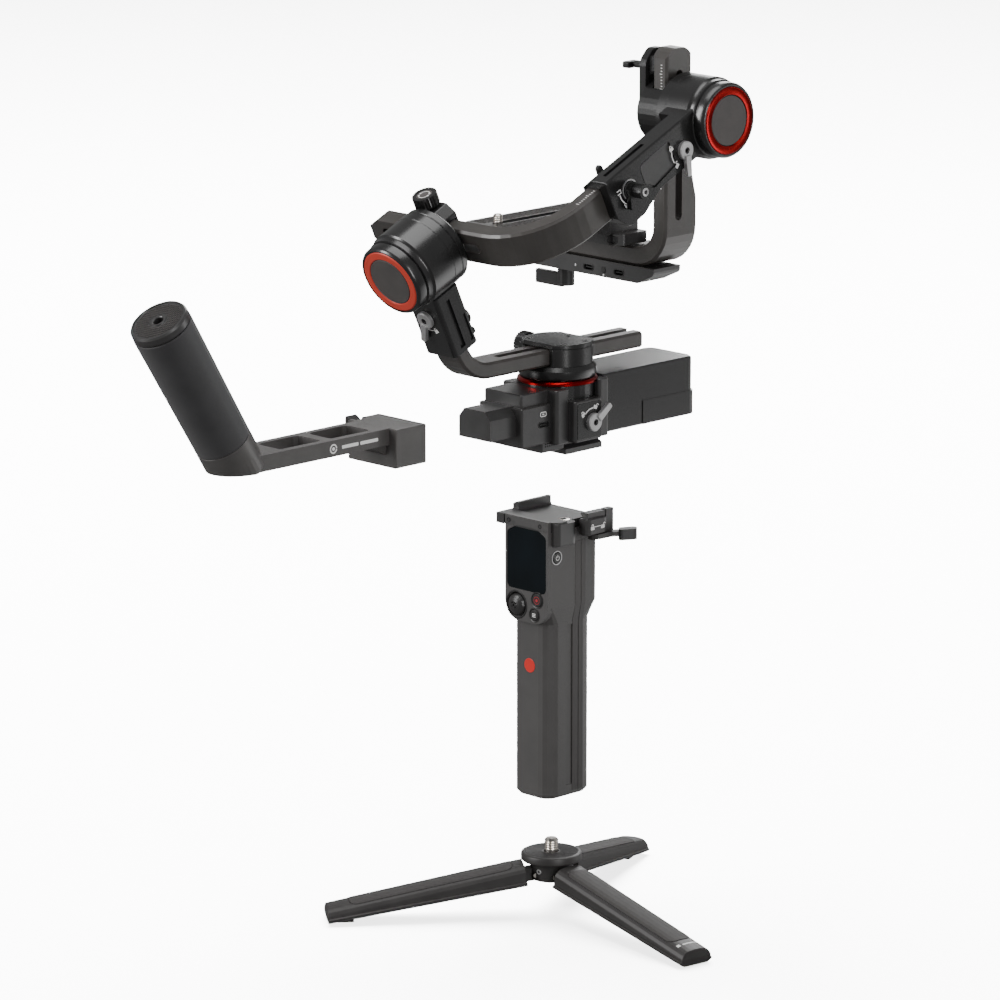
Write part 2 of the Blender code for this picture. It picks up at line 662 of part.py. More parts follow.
def lock_lever(name, finish, parent, basis, angle, hinge_name):
    """Small silver lever that turns a motor's locking pin; local z points out of the face."""
    hinge = pivot(hinge_name, basis.translation / MM, parent)
    spin = basis @ Matrix.Rotation(math.radians(angle), 4, "Z")
    hub = [(2.2, 0.3), (6.2, 0.3), (6.2, 2.8), (5.6, 3.4), (2.2, 3.4)]
    lever = add(name, turned(hub, 24), finish["silver"], hinge, spin)
    arm = filleted([(3.4, -2.4, 0), (17.0, -1.9, 0.8), (17.0, 1.9, 0.8), (3.4, 2.4, 0)], 2)
    fuse(lever, prism(arm, 1.6, 4.4))


def knurled_knob(name, finish, parent, basis, hinge_name, radius=9.2, height=8.0):
    """Thumb knob; local z points out of the seat."""
    hinge = pivot(hinge_name, basis.translation / MM, parent)
    knob = add(name, prism(knurled(radius, 0.6, 26), 1.2, height), finish["aluminium"], hinge, basis)
    fuse(knob, rod(radius * 0.55, 0.3, 2.0, 16))
    cut(knob, rod(radius * 0.66, height - 0.7, height + 1, 24))


# ---------------------------------------------------------------- pan base

def pan_base(finish, grip_body_pivot):
    body = pivot("head_lift", (0, 0, BASE_LOW), grip_body_pivot)
    base = add("base_housing", soft_box(-20, 20, -54, -19, 332.5, 359, 1.5, 0.6),
               finish["aluminium"], body)
    fuse(base, soft_box(-17.2, 17.2, -51.8, -20, 357, 367.8, 1.5, 0.6))
    stub = [(-STUB_HALF, STUB_LOW), (STUB_HALF, STUB_LOW), (STUB_HALF, STUB_TOP - 5.6),
            (STUB_HALF - 4.8, STUB_TOP), (-STUB_HALF + 4.8, STUB_TOP), (-STUB_HALF, STUB_TOP - 5.6)]
    fuse(base, prism(stub, STUB_END, -50, "y"))
    fuse(base, soft_box(-18.5, 18.5, -34, -12, 326.0, 334, 1.5, 0.6))
    fuse(base, box(-22, 22, -24, 21.6, BASE_LOW, 336))
    fuse(base, soft_box(12, 31, -15, 11, BASE_LOW + 0.5, 359.5, 2.0, 0.6))
    for side in (-1, 1):
        low, high = sorted((side * 12, side * 27))
        fuse(base, soft_box(low, high, 12, 21.6, BASE_LOW, 370.6, 2.0, 0.5))
        low, high = sorted((side * 12, side * 25.4))
        fuse(base, soft_box(low, high, -27, -14, BASE_LOW, 368, 2.5, 0.5))
    cut(base, rod(25.8, 334.0, 400, 48))
    cut(base, rod(RING_RADIUS + 0.45, MOTOR_TOP, 400, 48))
    cut(base, box(-16, 16, -51, -15, 336, 355))
    cut(base, soft_box(18.2, 22, -37.8, -29.4, 344.2, 347.4, 1.5, 0.0001))

    stator = [(25.5, 334.3), (25.5, MOTOR_TOP), (22.2, MOTOR_TOP), (22.2, 338), (5.0, 338),
              (5.0, 334.3)]
    add("pan_motor_housing", turned(stator), finish["aluminium"], body)

    x0, x1, y0, y1 = BATTERY
    case = add("battery_case", chamfered(lambda inset: filleted(
        [(x0 + inset, y0 + inset, 1), (x1 - inset, y0 + inset, 1), (x1 - inset, y1 - inset, 6),
         (x0 + inset, y1 - inset, 6)], 4), BASE_LOW, BATTERY_TOP, 1.0), finish["gloss"], body)
    lip = filleted([(x0 - 0.6, 60, 0), (x1 + 0.6, 60, 0), (x1 + 0.6, y1 + 1.4, 6.6),
                    (x0 - 0.6, y1 + 1.4, 6.6)], 4)
    fuse(case, prism(lip, BASE_LOW + 0.3, 348))
    cut(case, box(-18.6, 18.6, 20, 107, 334, 369))
    cut(case, rod(RING_RADIUS + 0.45, MOTOR_TOP, 400, 48))
    cells = add("battery_cells", rod(9.0, 27, 92, 24, "y", (-9.3, 0, 351)), finish["cell"], body)
    fuse(cells, rod(9.0, 27, 92, 24, "y", (9.3, 0, 351)))
    fuse(cells, box(-12, 12, 30, 89, 344, 358))

    foot = [(-15.0, 331.2), (-15.0, 327.6), (-19.0, 325.4), (-19.0, DOVETAIL_LOW),
            (19.0, DOVETAIL_LOW), (19.0, 325.4), (15.0, 327.6), (15.0, 331.2)]
    add("dovetail_plate", prism(foot, -11.6, 23.0, "y"), finish["aluminium"], body)

    side = frame((31.0, 1.6, 344.2), Matrix.Rotation(math.radians(90), 4, "Y"))
    lock_lever("pan_lock_lever", finish, body, side, 128.0, "pan_lock_pivot")
    return body


def pan_rotor(finish, base):
    body = pivot("pan_axis", (0, 0, MOTOR_TOP), base)
    ring = [(RING_RADIUS - 5, 368.8), (RING_RADIUS, 368.8), (RING_RADIUS, 370.6),
            (RING_RADIUS - 1.0, 372.4), (RING_RADIUS - 5, 372.4)]
    add("pan_ring", turned(ring), finish["red"], body)
    drum = [(0.0, 334.8), (4.6, 334.8), (4.6, 339), (21.6, 339), (21.6, 372.7), (25.4, 372.7),
            (26.0, 374.0), (26.0, 378.4), (23.9, ROTOR_DISC_TOP), (0.0, ROTOR_DISC_TOP)]
    rotor = add("pan_rotor", turned(drum), finish["aluminium"], body)
    fuse(rotor, rod(23.6, ROTOR_DISC_TOP - 1, 392.9, ROUND))
    block = box(-21.5, -8, -15, 6, ROTOR_DISC_TOP - 0.5, 392.9)
    fuse(rotor, block)
    for side in (-1, 1):
        low, high = sorted((side * 19.2, side * 40))
        cut(rotor, box(-40, 40, low, high, ROTOR_DISC_TOP, 400))
    half = ARM_WIDTH / 2 + GAP
    cut(rotor, box(-half, half, -40, 40, ROTOR_DISC_TOP + 0.3, 400))
    lid = [point for point in circle(23.6, ROUND) if abs(point[1]) < 19.2]
    add("arm_clamp_plate", prism(lid, 393.2, HUB_PLATE_TOP), finish["aluminium"], body)
    seat = frame((-23.8, -1.0, 388.6), Matrix.Rotation(math.radians(-90), 4, "Y"))
    knurled_knob("pan_arm_knob", finish, body, seat, "pan_arm_knob_pivot", 8.6, 8.4)
    return body


def pan_arm(finish, rotor):
    body = pivot("pan_arm_slide", (0, 0, ARM_Z), rotor)
    incline = math.radians(ROLL_INCLINE)
    axis = Vector((math.cos(incline), math.sin(incline)))
    down = Vector((math.sin(incline), -math.cos(incline)))
    face = Vector(ROLL_FACE[1:])
    upright = face + axis * UPRIGHT_S
    corner = upright + down * ((upright.y - ARM_Z) / -down.y)
    top = upright + down * UPRIGHT_TOP_V
    path = bend_path((ARM_FRONT, ARM_Z), corner, top, ARM_BEND, 7)
    section = bar_section(ARM_WIDTH, ARM_THICK, 1.6)
    arm = add("pan_arm", sweep([(a, -b) for a, b in section], path, "yz"), finish["aluminium"], body)
    cut(arm, box(-3.0, 3.0, -58, 80, ARM_Z + ARM_THICK / 2 - 2.2, 400))
    return body


# ---------------------------------------------------------------- roll module

def roll_frame():
    return frame(ROLL_FACE, Matrix.Rotation(math.radians(ROLL_INCLINE - 90), 4, "X"))


def in_roll(x, v, s):
    """Design-frame point of a place in the roll frame."""
    return (roll_frame() @ (Vector((x, v, s)) * MM)) / MM


def roll_motor(finish, arm):
    basis = roll_frame()
    body = pivot("roll_height_slide", in_roll(0, 60, UPRIGHT_S), arm)
    housing = add("roll_motor_housing", motor_shell(), finish["aluminium"], body, basis)
    low, high = UPRIGHT_S - 10.0, UPRIGHT_S + 12.5
    fuse(housing, soft_box(-13.5, 14, 24.0, 70.0, low, high, 2.5, 0.8, "y"))
    cut(housing, rod(23.6, 15.0, 60, ROUND))
    half = ARM_WIDTH / 2 + GAP
    thick = ARM_THICK / 2 + GAP
    cut(housing, box(-half, half, 30.0, 80, UPRIGHT_S - thick, UPRIGHT_S + thick))
    cut(housing, box(12.4, 20, 30, 66, UPRIGHT_S - 3.0, UPRIGHT_S + 1.5))
    cut(housing, box(13.0, 20, 46, 66, UPRIGHT_S + 7.0, UPRIGHT_S + 9.6))
    motor_trim("roll_motor", finish, body, basis)
    face = frame(in_roll(-0.3, 40.5, low), Matrix.Rotation(math.radians(ROLL_INCLINE - 90), 4, "X")
                 @ Matrix.Rotation(math.pi, 4, "X"))
    lock_lever("roll_lock_lever", finish, body, face, -112.0, "roll_lock_pivot")
    front = frame(in_roll(0, 56, high), Matrix.Rotation(math.radians(ROLL_INCLINE - 90), 4, "X"))
    knurled_knob("roll_height_knob", finish, body, front, "roll_height_knob_pivot", 6.4, 7.0)
    return body


def roll_rotor(finish, motor):
    basis = roll_frame()
    body = pivot("roll_axis", in_roll(0, 0, MOTOR_LENGTH), motor)
    rotor = add("roll_rotor_clamp", turned(rotor_profile(26.8, MOTOR_LENGTH + 0.5, 46.4)),
                finish["aluminium"], body, basis)
    block = filleted([(-17, 17, 3), (10.0, 17, 3), (10.0, -16, 1), (4.0, -21.8, 1), (-15.0, -21.8, 4),
                      (-17, -17, 1)], 3)
    fuse(rotor, prism(block, 45.5, 62.0))
    half = ROLL_ARM_HEIGHT / 2 + GAP
    thick = ROLL_ARM_THICK / 2 + GAP
    cut(rotor, box(-40, 40, -half, half, ROLL_ARM_S - thick, ROLL_ARM_S + thick))
    seat = frame(in_roll(-7.0, -21.8, ROLL_ARM_S + 1.8),
                 Matrix.Rotation(math.radians(ROLL_INCLINE - 90), 4, "X")
                 @ Matrix.Rotation(math.radians(90), 4, "X"))
    knurled_knob("roll_arm_knob", finish, body, seat, "roll_arm_knob_pivot", 8.5, 9.2)
    return body


def roll_arm(finish, rotor):
    basis = roll_frame()
    body = pivot("roll_arm_slide", in_roll(0, 0, ROLL_ARM_S), rotor)
    path = bend_path((ROLL_ARM_LEFT, ROLL_ARM_S), (SECOND_X, ROLL_ARM_S),
                     (SECOND_X, SECOND_END_S), ROLL_BEND, 10)
    section = bar_section(ROLL_ARM_HEIGHT, ROLL_ARM_THICK, 1.6)
    arm = add("roll_arm", sweep([(a, -b) for a, b in section], path, "xz"), finish["aluminium"],
              body, basis)
    slot = rounded(-51, 38.5, -3.2, 3.2, 3.1)
    cut(arm, prism(slot, ROLL_ARM_S - 10, ROLL_ARM_S + 10))
    left = ROLL_ARM_LEFT - 1
    upper = [(left, -3.0), (left, -14), (-24, -14), (-29, -8.6), (-54, -8.6)]
    cut(arm, prism(upper, ROLL_ARM_S - 10, ROLL_ARM_S + 10))
    cut(arm, prism([(left, 5.0), (left, 14), (-53, 14)], ROLL_ARM_S - 10, ROLL_ARM_S + 10))
    return body


# ---------------------------------------------------------------- tilt module

def tilt_centre():
    return in_roll(0, 0, TILT_S)


def tilt_frame():
    """Frame at the tilt motor's face, local z pointing into the motor, towards -X."""
    centre = tilt_centre()
    return frame((TILT_FACE_X, centre.y, centre.z), Matrix.Rotation(math.radians(-90), 4, "Y"))


def tilt_motor(finish, arm):
    roll = roll_frame()
    basis = tilt_frame()
    body = pivot("tilt_reach_slide", in_roll(SECOND_X, 0, 140), arm)
    housing = add("tilt_motor_housing", motor_shell(), finish["aluminium"], body, basis)
    outline = filleted([(-18.5, 114, 1.5), (-18.5, 206, 0), (12, 206, 0), (12, 158, 2), (20, 137, 6),
                        (20, 122, 6), (9, 114, 5)], 3)
    fuse(housing, chamfered_block(outline, 77.0, 100.0), roll)
    cut(housing, rod(23.6, 15.0, 60, ROUND))
    half = ROLL_ARM_HEIGHT / 2 + GAP
    thick = ROLL_ARM_THICK / 2 + GAP
    cut(housing, box(SECOND_X - thick, SECOND_X + thick, -half, half, 100, 193), roll)
    panel = filleted([(-12, 145, 5), (-12, 176, 2), (6, 176, 2), (9, 152, 3), (2, 143, 5)], 3)
    cut(housing, prism(panel, 98.6, 110, "x"), roll)
    cut(housing, box(91.4, 94.4, -30, -17.0, 121, 160), roll)
    cut(housing, prism([(70, -12.0), (77.1, -12.0), (86.5, -18.6), (70, -30)], 100, 194.5), roll)
    motor_trim("tilt_motor", finish, body, basis)
    place = in_roll(100.0, 0.8, 185.5)
    face = frame(place, Matrix.Rotation(math.radians(90), 4, "Y"))
    lock_lever("tilt_lock_lever", finish, body, face, 6.0, "tilt_lock_pivot")

    place = in_roll(100.0, -2.8, 131.5)
    hinge = pivot("reach_lever_pivot", place, body)
    seat = frame(place, Matrix.Rotation(math.radians(90), 4, "Y"))
    lever = add("reach_lever", rod(5.6, 0.3, 6.0, 20), finish["aluminium"], hinge, seat)
    fuse(lever, rod(4.8, 3.0, 14.0, 20))
    paddle = filleted([(0, -4.6, 0), (13, -3.0, 2), (13, 3.0, 2), (0, 4.6, 0)], 2)
    fuse(lever, prism(paddle, 1.2, 5.0))
    return body


def chamfered_block(outline, low, high):
    """Block along local x with an outline in (v, s), edges eased at the two faces."""
    centre_v = sum(point[0] for point in outline) / len(outline)
    centre_s = sum(point[1] for point in outline) / len(outline)

    def ring(x, ease):
        reach_v, reach_s = 1 - ease / 19, 1 - ease / 46
        return [(x, centre_v + (v - centre_v) * reach_v, centre_s + (s - centre_s) * reach_s)
                for v, s in outline]
    return loft([ring(low, 0.8), ring(low + 0.8, 0), ring(high - 0.8, 0), ring(high, 0.8)])


def tilt_rotor(finish, motor):
    basis = tilt_frame()
    centre = tilt_centre()
    body = pivot("tilt_axis", (60, centre.y, centre.z), motor)
    depth = TILT_FACE_X - 45.0
    profile = rotor_profile(20.6, MOTOR_LENGTH + 0.5, depth)
    rotor = add("tilt_rotor_clamp", turned(profile), finish["aluminium"], body, basis)
    y, z = centre.y, centre.z
    back = filleted([(y - 12.4, z, 0), (y + 12.4, z, 0), (y + 12.4, 583, 9), (y + 5, 591.0, 6),
                     (y - 5, 591.0, 6), (y - 12.4, 583, 9)], 3)
    fuse(rotor, prism(back, 40.0, 45.6, "x"), WORLD)
    cut(rotor, box(42.0, 46, y - 8.5, y + 20, z + 24.0, 586), WORLD)
    half = TILT_ARM_HALF + GAP
    thick = TILT_ARM_THICK / 2 + GAP
    cut(rotor, box(TILT_ARM_X - thick, TILT_ARM_X + thick, y - half, y + half, 400, 640), WORLD)
    seat = frame((40.0, y - 2.0, 577.5), Matrix.Rotation(math.radians(-90), 4, "Y"))
    hinge = pivot("tilt_arm_lever_pivot", seat.translation / MM, body)
    lever = add("tilt_arm_lever", rod(2.0, 0.3, 19.0, 14), finish["aluminium"], hinge, seat)
    fuse(lever, soft_box(-2.2, 2.2, -6.0, 6.0, 14.5, 20.0, 1.2, 0.4))
    return body


def tilt_arm(finish, rotor):
    centre = tilt_centre()
    body = pivot("tilt_arm_slide", (TILT_ARM_X, centre.y, centre.z), rotor)
    path = bend_path((TILT_ARM_X, TILT_ARM_TOP - 1), (TILT_ARM_X, TRAY_BAR_Z),
                     (TRAY_LEFT + 18, TRAY_BAR_Z), TILT_BEND, 8)
    section = bar_section(TILT_ARM_HALF * 2, TILT_ARM_THICK, 1.6)
    bar = sweep([(centre.y + a, b) for a, b in section], path, "xz")
    arm = add("tilt_arm", bar, finish["aluminium"], body)
    y = centre.y
    top = TILT_ARM_TOP
    for side in (-1, 1):
        shoulder = [(y + side * 14, top - 9.5), (y + side * 14, top + 2), (y, top + 2), (y, top - 0.2)]
        shoulder += arc((y, top - 13.4), 13.2, 90, 90 - side * 55, 4)[1:]
        cut(arm, prism(shoulder, 40, 80, "x"))
    lower = bend_path((TILT_ARM_X, 516), (TILT_ARM_X, TRAY_BAR_Z), (26, TRAY_BAR_Z), TILT_BEND, 8)
    flare = bar_section(16, TILT_ARM_THICK - 0.1, 1.6)
    fuse(arm, sweep([(centre.y + 10.2 + a, b) for a, b in flare], lower, "xz"))
    edge = y + TILT_ARM_HALF
    above = filleted([(edge, 520, 0), (edge, 510, 0), (edge + 6.2, 484, 8), (edge + 9, 480, 0),
                      (edge + 9, 520, 0)], 3)
    cut(arm, prism(above, 40, 80, "x"))
    cut(arm, prism([(20, 430), (36, 430), (44, 462), (20, 462)], edge, edge + 12, "y"))
    cut(arm, prism(rounded(y - 3.1, y + 3.1, 478, 578, 3.0), 40, 80, "x"))

    tray = filleted([(TRAY_LEFT, 433.8, 1), (39, 433.8, 2), (54, 440.8, 3), (54, 445.1, 0),
                     (TRAY_LEFT, 445.1, 1)], 2)
    base = add("tray_base", prism(tray, y - 12.4, y + 13.2, "y"), finish["plastic"], body)
    cut(base, box(TRAY_LEFT + 4, 30, y - 9, y + 10, 436, 442))
    for x in (-6.0, 22.0):
        cut(base, box(x - 4.6, x + 4.6, y - 13, y - 8, 436.8, 440.6))
    outline = filleted([(-26, y - 26, 1.5), (29, y - 26, 1.5), (34.5, y - 20, 1.5), (34.5, y + 2, 1.5),
                        (-26, y + 2, 1.5)], 2)
    holder = add("plate_clamp", prism(outline, 459.6, 467.0), finish["aluminium"], body)
    fuse(holder, box(-26, 26.2, y - 25.6, y + 1.6, 466, 474.0))
    for low, high in ((-26, -21.6), (21.6, 26.2)):
        fuse(holder, box(low, high, y - 25.2, y + 1.2, 473, 477.5))
    cut(holder, rod(4.0, y - 30, y - 23, 6, "y", (28.0, 0, 463.3)))
    place = (-39.0, y, 433.5)
    hinge = pivot("tray_knob_pivot", place, body)
    knob = add("tray_knob", rod(5.8, 420.6, 433.2, 20, centre=(-39, y, 0)), finish["plastic"], hinge)
    fuse(knob, soft_box(-66.5, -41, y - 2.2, y + 2.2, 418.8, 428.2, 1.5, 0.4))
    return body


def camera_plate(finish, tray):
    centre = tilt_centre()
    body = pivot("camera_plate_slide", (0, centre.y, CAMERA_PLATE_LOW), tray)
    low, top = CAMERA_PLATE_LOW, CAMERA_PLATE_TOP
    plate = add("camera_plate", chamfered(lambda inset: rounded(
        -PLATE_HALF + inset, PLATE_HALF - inset, PLATE_REAR + inset, PLATE_FRONT - inset, 3.0),
        low, top, 0.8), finish["aluminium"], body)
    cut(plate, prism(rounded(-3.5, 3.5, PLATE_REAR + 8, PLATE_FRONT - 18, 3.4), low - 1, top + 1))
    cut(plate, box(-7.0, 7.0, PLATE_REAR + 4, PLATE_FRONT - 14, low - 1, low + 3.4))
    for side in (-1, 1):
        inner, outer = side * 5.0, side * 18.5
        x0, x1 = sorted((inner, outer))
        cut(plate, prism(rounded(x0, x1, PLATE_REAR + 4, PLATE_FRONT - 10, 1.5, 2), top - 0.8, top + 2))
    screw = [(0.0, low + 0.4), (6.2, low + 0.4), (6.2, low + 3.0)]
    screw += thread_profile(SCREW_14, low + 3.0, top + 6.2, 4, 1.27, 0.45)[1:]
    hinge = pivot("camera_screw_pivot", (0, CAMERA_SCREW_Y, low), body)
    add("camera_screw", turned(screw, 16, centre=(0, CAMERA_SCREW_Y, 0)), finish["steel"], hinge)


# ---------------------------------------------------------------- side handle

def side_handle(finish, base):
    body = pivot("handle_slide", (0, HANDLE_FRONT, 349.7), base)
    block = soft_box(-22.5, 22.5, HANDLE_BACK, HANDLE_FRONT, HANDLE_LOW, HANDLE_TOP, 1.2, 0.5, "y")
    arm = add("handle_arm", block, finish["aluminium"], body)
    outline = filleted([(-16, HANDLE_BACK + 2, 0), (16, HANDLE_BACK + 2, 0), (16, -303, 13),
                        (-16, -303, 13)], 5)
    fuse(arm, prism(outline, HANDLE_TOP - 10.8, HANDLE_TOP - 0.02))
    gusset = [(-181, 354), (-177, 350), (HANDLE_BACK + 1, 345.5), (HANDLE_BACK + 1, 354)]
    fuse(arm, prism(gusset, -13, 13, "x"))
    inner = STUB_HALF + GAP
    cut(arm, box(-inner, inner, HANDLE_FRONT - 24.2, -100, STUB_LOW - GAP, STUB_TOP + GAP))
    for y0, y1 in ((-218, -183), (-262, -226)):
        window = filleted([(-11, y0, 4), (11, y0, 2), (11, y1, 2), (-11, y1, 4)], 2)
        cut(arm, prism(window, 330, 380))
    start = Vector((0, *TUBE_BASE))
    end = Vector((0, *TUBE_END))
    length = (end - start).length
    lean = (end - start).normalized()
    basis = frame(start, Vector((0, 0, 1)).rotation_difference(lean).to_matrix().to_4x4())
    low, high = TUBE_RADIUS - 0.95, TUBE_RADIUS + 0.3
    collar = [(0.0, -14.0), (low - 1, -14.0), (low, -12.0), (low, 11.7),
              (14.6, 11.7), (14.6, length - 6.0), (0.0, length - 6.0)]
    fuse(arm, turned(collar, 36), basis)
    cut(arm, box(-40, 40, -340, -240, 300, HANDLE_TOP - 10.8), WORLD)
    sleeve = [(14.9, 12.0), (low, 12.0), (high, length - 6.4), (14.9, length - 6.4)]
    add("handle_grip", turned(sleeve, 36), finish["foam"], body, basis)
    cap = [(3.4, length - 5.7), (TUBE_RADIUS - 0.2, length - 5.7), (TUBE_RADIUS - 0.2, length - 1.4),
           (TUBE_RADIUS - 1.6, length), (3.4, length)]
    add("handle_end_cap", turned(cap, 36), finish["aluminium"], body, basis)
    cut(arm, box(-30, -17.8, -168, -158.5, 350, 370))
    press = pivot("handle_latch_slide", (-22.5, -163, 355), body)
    tab = filleted([(-28.5, 353, 1), (-19.6, 353, 0), (-19.6, 360, 0), (-28.5, 366.0, 1)], 2)
    add("handle_latch", prism(tab, -167.6, -158.9, "y"), finish["plastic"], press)


# ---------------------------------------------------------------- assembly

def centre_on_footprint(root):
    """Moves the root so that the world origin is under the middle of the bounding box."""
    bpy.context.view_layer.update()
    graph = bpy.context.evaluated_depsgraph_get()
    xs, ys = [], []
    for item in bpy.data.objects:
        if item.type != "MESH" or item.hide_render:
            continue
        shape = item.evaluated_get(graph)
        for vertex in shape.data.vertices:
            place = shape.matrix_world @ vertex.co
            xs.append(place.x)
            ys.append(place.y)
    root.location = (-(min(xs) + max(xs)) / 2, -(min(ys) + max(ys)) / 2, 0.0)


def build():
    clear_scene()
    finish = make_materials()
    root = pivot("gimbal", (0, 0, 0))
    tripod(finish, root)
    grip_body_pivot = grip(finish, root)
    base = pan_base(finish, grip_body_pivot)
    side_handle(finish, base)
    rotor = pan_rotor(finish, base)
    arm = pan_arm(finish, rotor)
    motor = roll_motor(finish, arm)
    rolling = roll_rotor(finish, motor)
    forward_arm = roll_arm(finish, rolling)
    second_motor = tilt_motor(finish, forward_arm)
    tilting = tilt_rotor(finish, second_motor)
    tray = tilt_arm(finish, tilting)
    camera_plate(finish, tray)
    centre_on_footprint(root)


build()
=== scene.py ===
"""Looks of the gimbal stabilizer: finishes, fine parts and marks, then camera, floor and light.

Lengths are in millimetres, in the part's own design frame: the pan axis is x = y = 0, the floor
is z = 0, +Y is forward. spot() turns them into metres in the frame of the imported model.
"""
import json
import math

import bmesh
import bpy
from mathutils import Matrix, Vector


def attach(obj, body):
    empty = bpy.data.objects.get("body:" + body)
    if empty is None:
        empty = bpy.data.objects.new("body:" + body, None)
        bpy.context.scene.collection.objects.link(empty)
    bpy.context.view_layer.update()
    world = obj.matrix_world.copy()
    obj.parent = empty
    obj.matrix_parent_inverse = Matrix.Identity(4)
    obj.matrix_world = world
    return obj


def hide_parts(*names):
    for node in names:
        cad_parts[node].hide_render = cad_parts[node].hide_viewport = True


MM = 0.001

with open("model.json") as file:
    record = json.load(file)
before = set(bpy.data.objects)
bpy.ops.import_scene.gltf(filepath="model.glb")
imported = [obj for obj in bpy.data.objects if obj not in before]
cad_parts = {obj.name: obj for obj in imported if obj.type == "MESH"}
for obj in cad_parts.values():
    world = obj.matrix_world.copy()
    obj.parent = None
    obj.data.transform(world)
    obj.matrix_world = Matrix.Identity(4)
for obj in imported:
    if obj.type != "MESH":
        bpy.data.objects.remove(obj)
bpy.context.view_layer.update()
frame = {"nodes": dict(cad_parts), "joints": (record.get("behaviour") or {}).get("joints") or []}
NODES = frame["nodes"]
JOINTS = {joint["name"]: joint for joint in frame["joints"]}
PAN_FOOT = Vector((*JOINTS["pan"]["pos_m"][:2], 0.0))


# ---------------------------------------------------------------- places

def spot(x, y, z):
    return PAN_FOOT + Vector((x, y, z)) * MM


def plane(origin, right, up):
    """Matrix of a flat place: local x to the right, local y up, local z out of the surface."""
    right = Vector(right).normalized()
    out = right.cross(Vector(up)).normalized()
    matrix = Matrix((right, out.cross(right), out)).transposed().to_4x4()
    matrix.translation = origin
    return matrix


def node_axis(joint):
    return Vector(JOINTS[joint]["pos_m"]), Vector(JOINTS[joint]["axis"]).normalized()


MOTOR_LENGTH = 40.4             # from a motor's cap to its rotor
ROLL_POINT, ROLL_AXIS = node_axis("roll")
ROLL_ORIGIN = ROLL_POINT - ROLL_AXIS * MOTOR_LENGTH * MM
ROLL_DOWN = ROLL_AXIS.cross(Vector((1, 0, 0)))


def in_roll(x, v, s):
    """Place in the roll motor's frame: x to the right, v down its sleeve, s along its axis."""
    return ROLL_ORIGIN + (Vector((1, 0, 0)) * x + ROLL_DOWN * v + ROLL_AXIS * s) * MM


# ---------------------------------------------------------------- finishes

def shader_of(material):
    return material.node_tree.nodes["Principled BSDF"]


def finish(name, slot, colour, rough, metal=0.0, **more):
    """Procedural finish: mottled colour and roughness with a fine grain in the surface.

    grain is the size of the texture in millimetres, bump its depth, vary the strength of the
    mottling, rough_vary the spread of roughness, stretch an uneven scale for brushed looks.
    """
    material = bpy.data.materials.new(name)
    material.use_nodes = True
    nodes, links = material.node_tree.nodes, material.node_tree.links
    shader = shader_of(material)
    shader.inputs["Metallic"].default_value = metal
    for socket in ("Coat Weight", "Coat Roughness", "Sheen Weight", "Sheen Roughness",
                   "Specular IOR Level", "IOR"):
        if socket in more:
            shader.inputs[socket].default_value = more[socket]
    place = nodes.new("ShaderNodeTexCoord")
    mapping = nodes.new("ShaderNodeMapping")
    mapping.inputs["Scale"].default_value = more.get("stretch", (1, 1, 1))
    links.new(place.outputs["Object"], mapping.inputs["Vector"])

    def cloud(size, detail):
        texture = nodes.new("ShaderNodeTexNoise")
        texture.inputs["Scale"].default_value = 1 / (size * MM)
        texture.inputs["Detail"].default_value = detail
        links.new(mapping.outputs["Vector"], texture.inputs["Vector"])
        return texture

    broad = cloud(more.get("patch", 14.0), 3.0)
    vary = more.get("vary", 0.12)
    ramp = nodes.new("ShaderNodeValToRGB")
    ramp.color_ramp.elements[0].position = 0.3
    ramp.color_ramp.elements[1].position = 0.7
    ramp.color_ramp.elements[0].color = (*[c * (1 - vary) for c in colour], 1)
    ramp.color_ramp.elements[1].color = (*[c * (1 + vary) for c in colour], 1)
    links.new(broad.outputs["Fac"], ramp.inputs["Fac"])
    links.new(ramp.outputs["Color"], shader.inputs["Base Color"])

    fine = cloud(more.get("grain", 0.5), 2.0)
    spread = more.get("rough_vary", 0.06)
    level = nodes.new("ShaderNodeMapRange")
    level.inputs["To Min"].default_value = rough - spread
    level.inputs["To Max"].default_value = rough + spread
    links.new(broad.outputs["Fac"], level.inputs["Value"])
    links.new(level.outputs["Result"], shader.inputs["Roughness"])
    bump = nodes.new("ShaderNodeBump")
    bump.inputs["Strength"].default_value = more.get("bump", 0.08)
    bump.inputs["Distance"].default_value = more.get("depth", 0.05) * MM
    links.new(fine.outputs["Fac"], bump.inputs["Height"])
    links.new(bump.outputs["Normal"], shader.inputs["Normal"])
    return material, slot


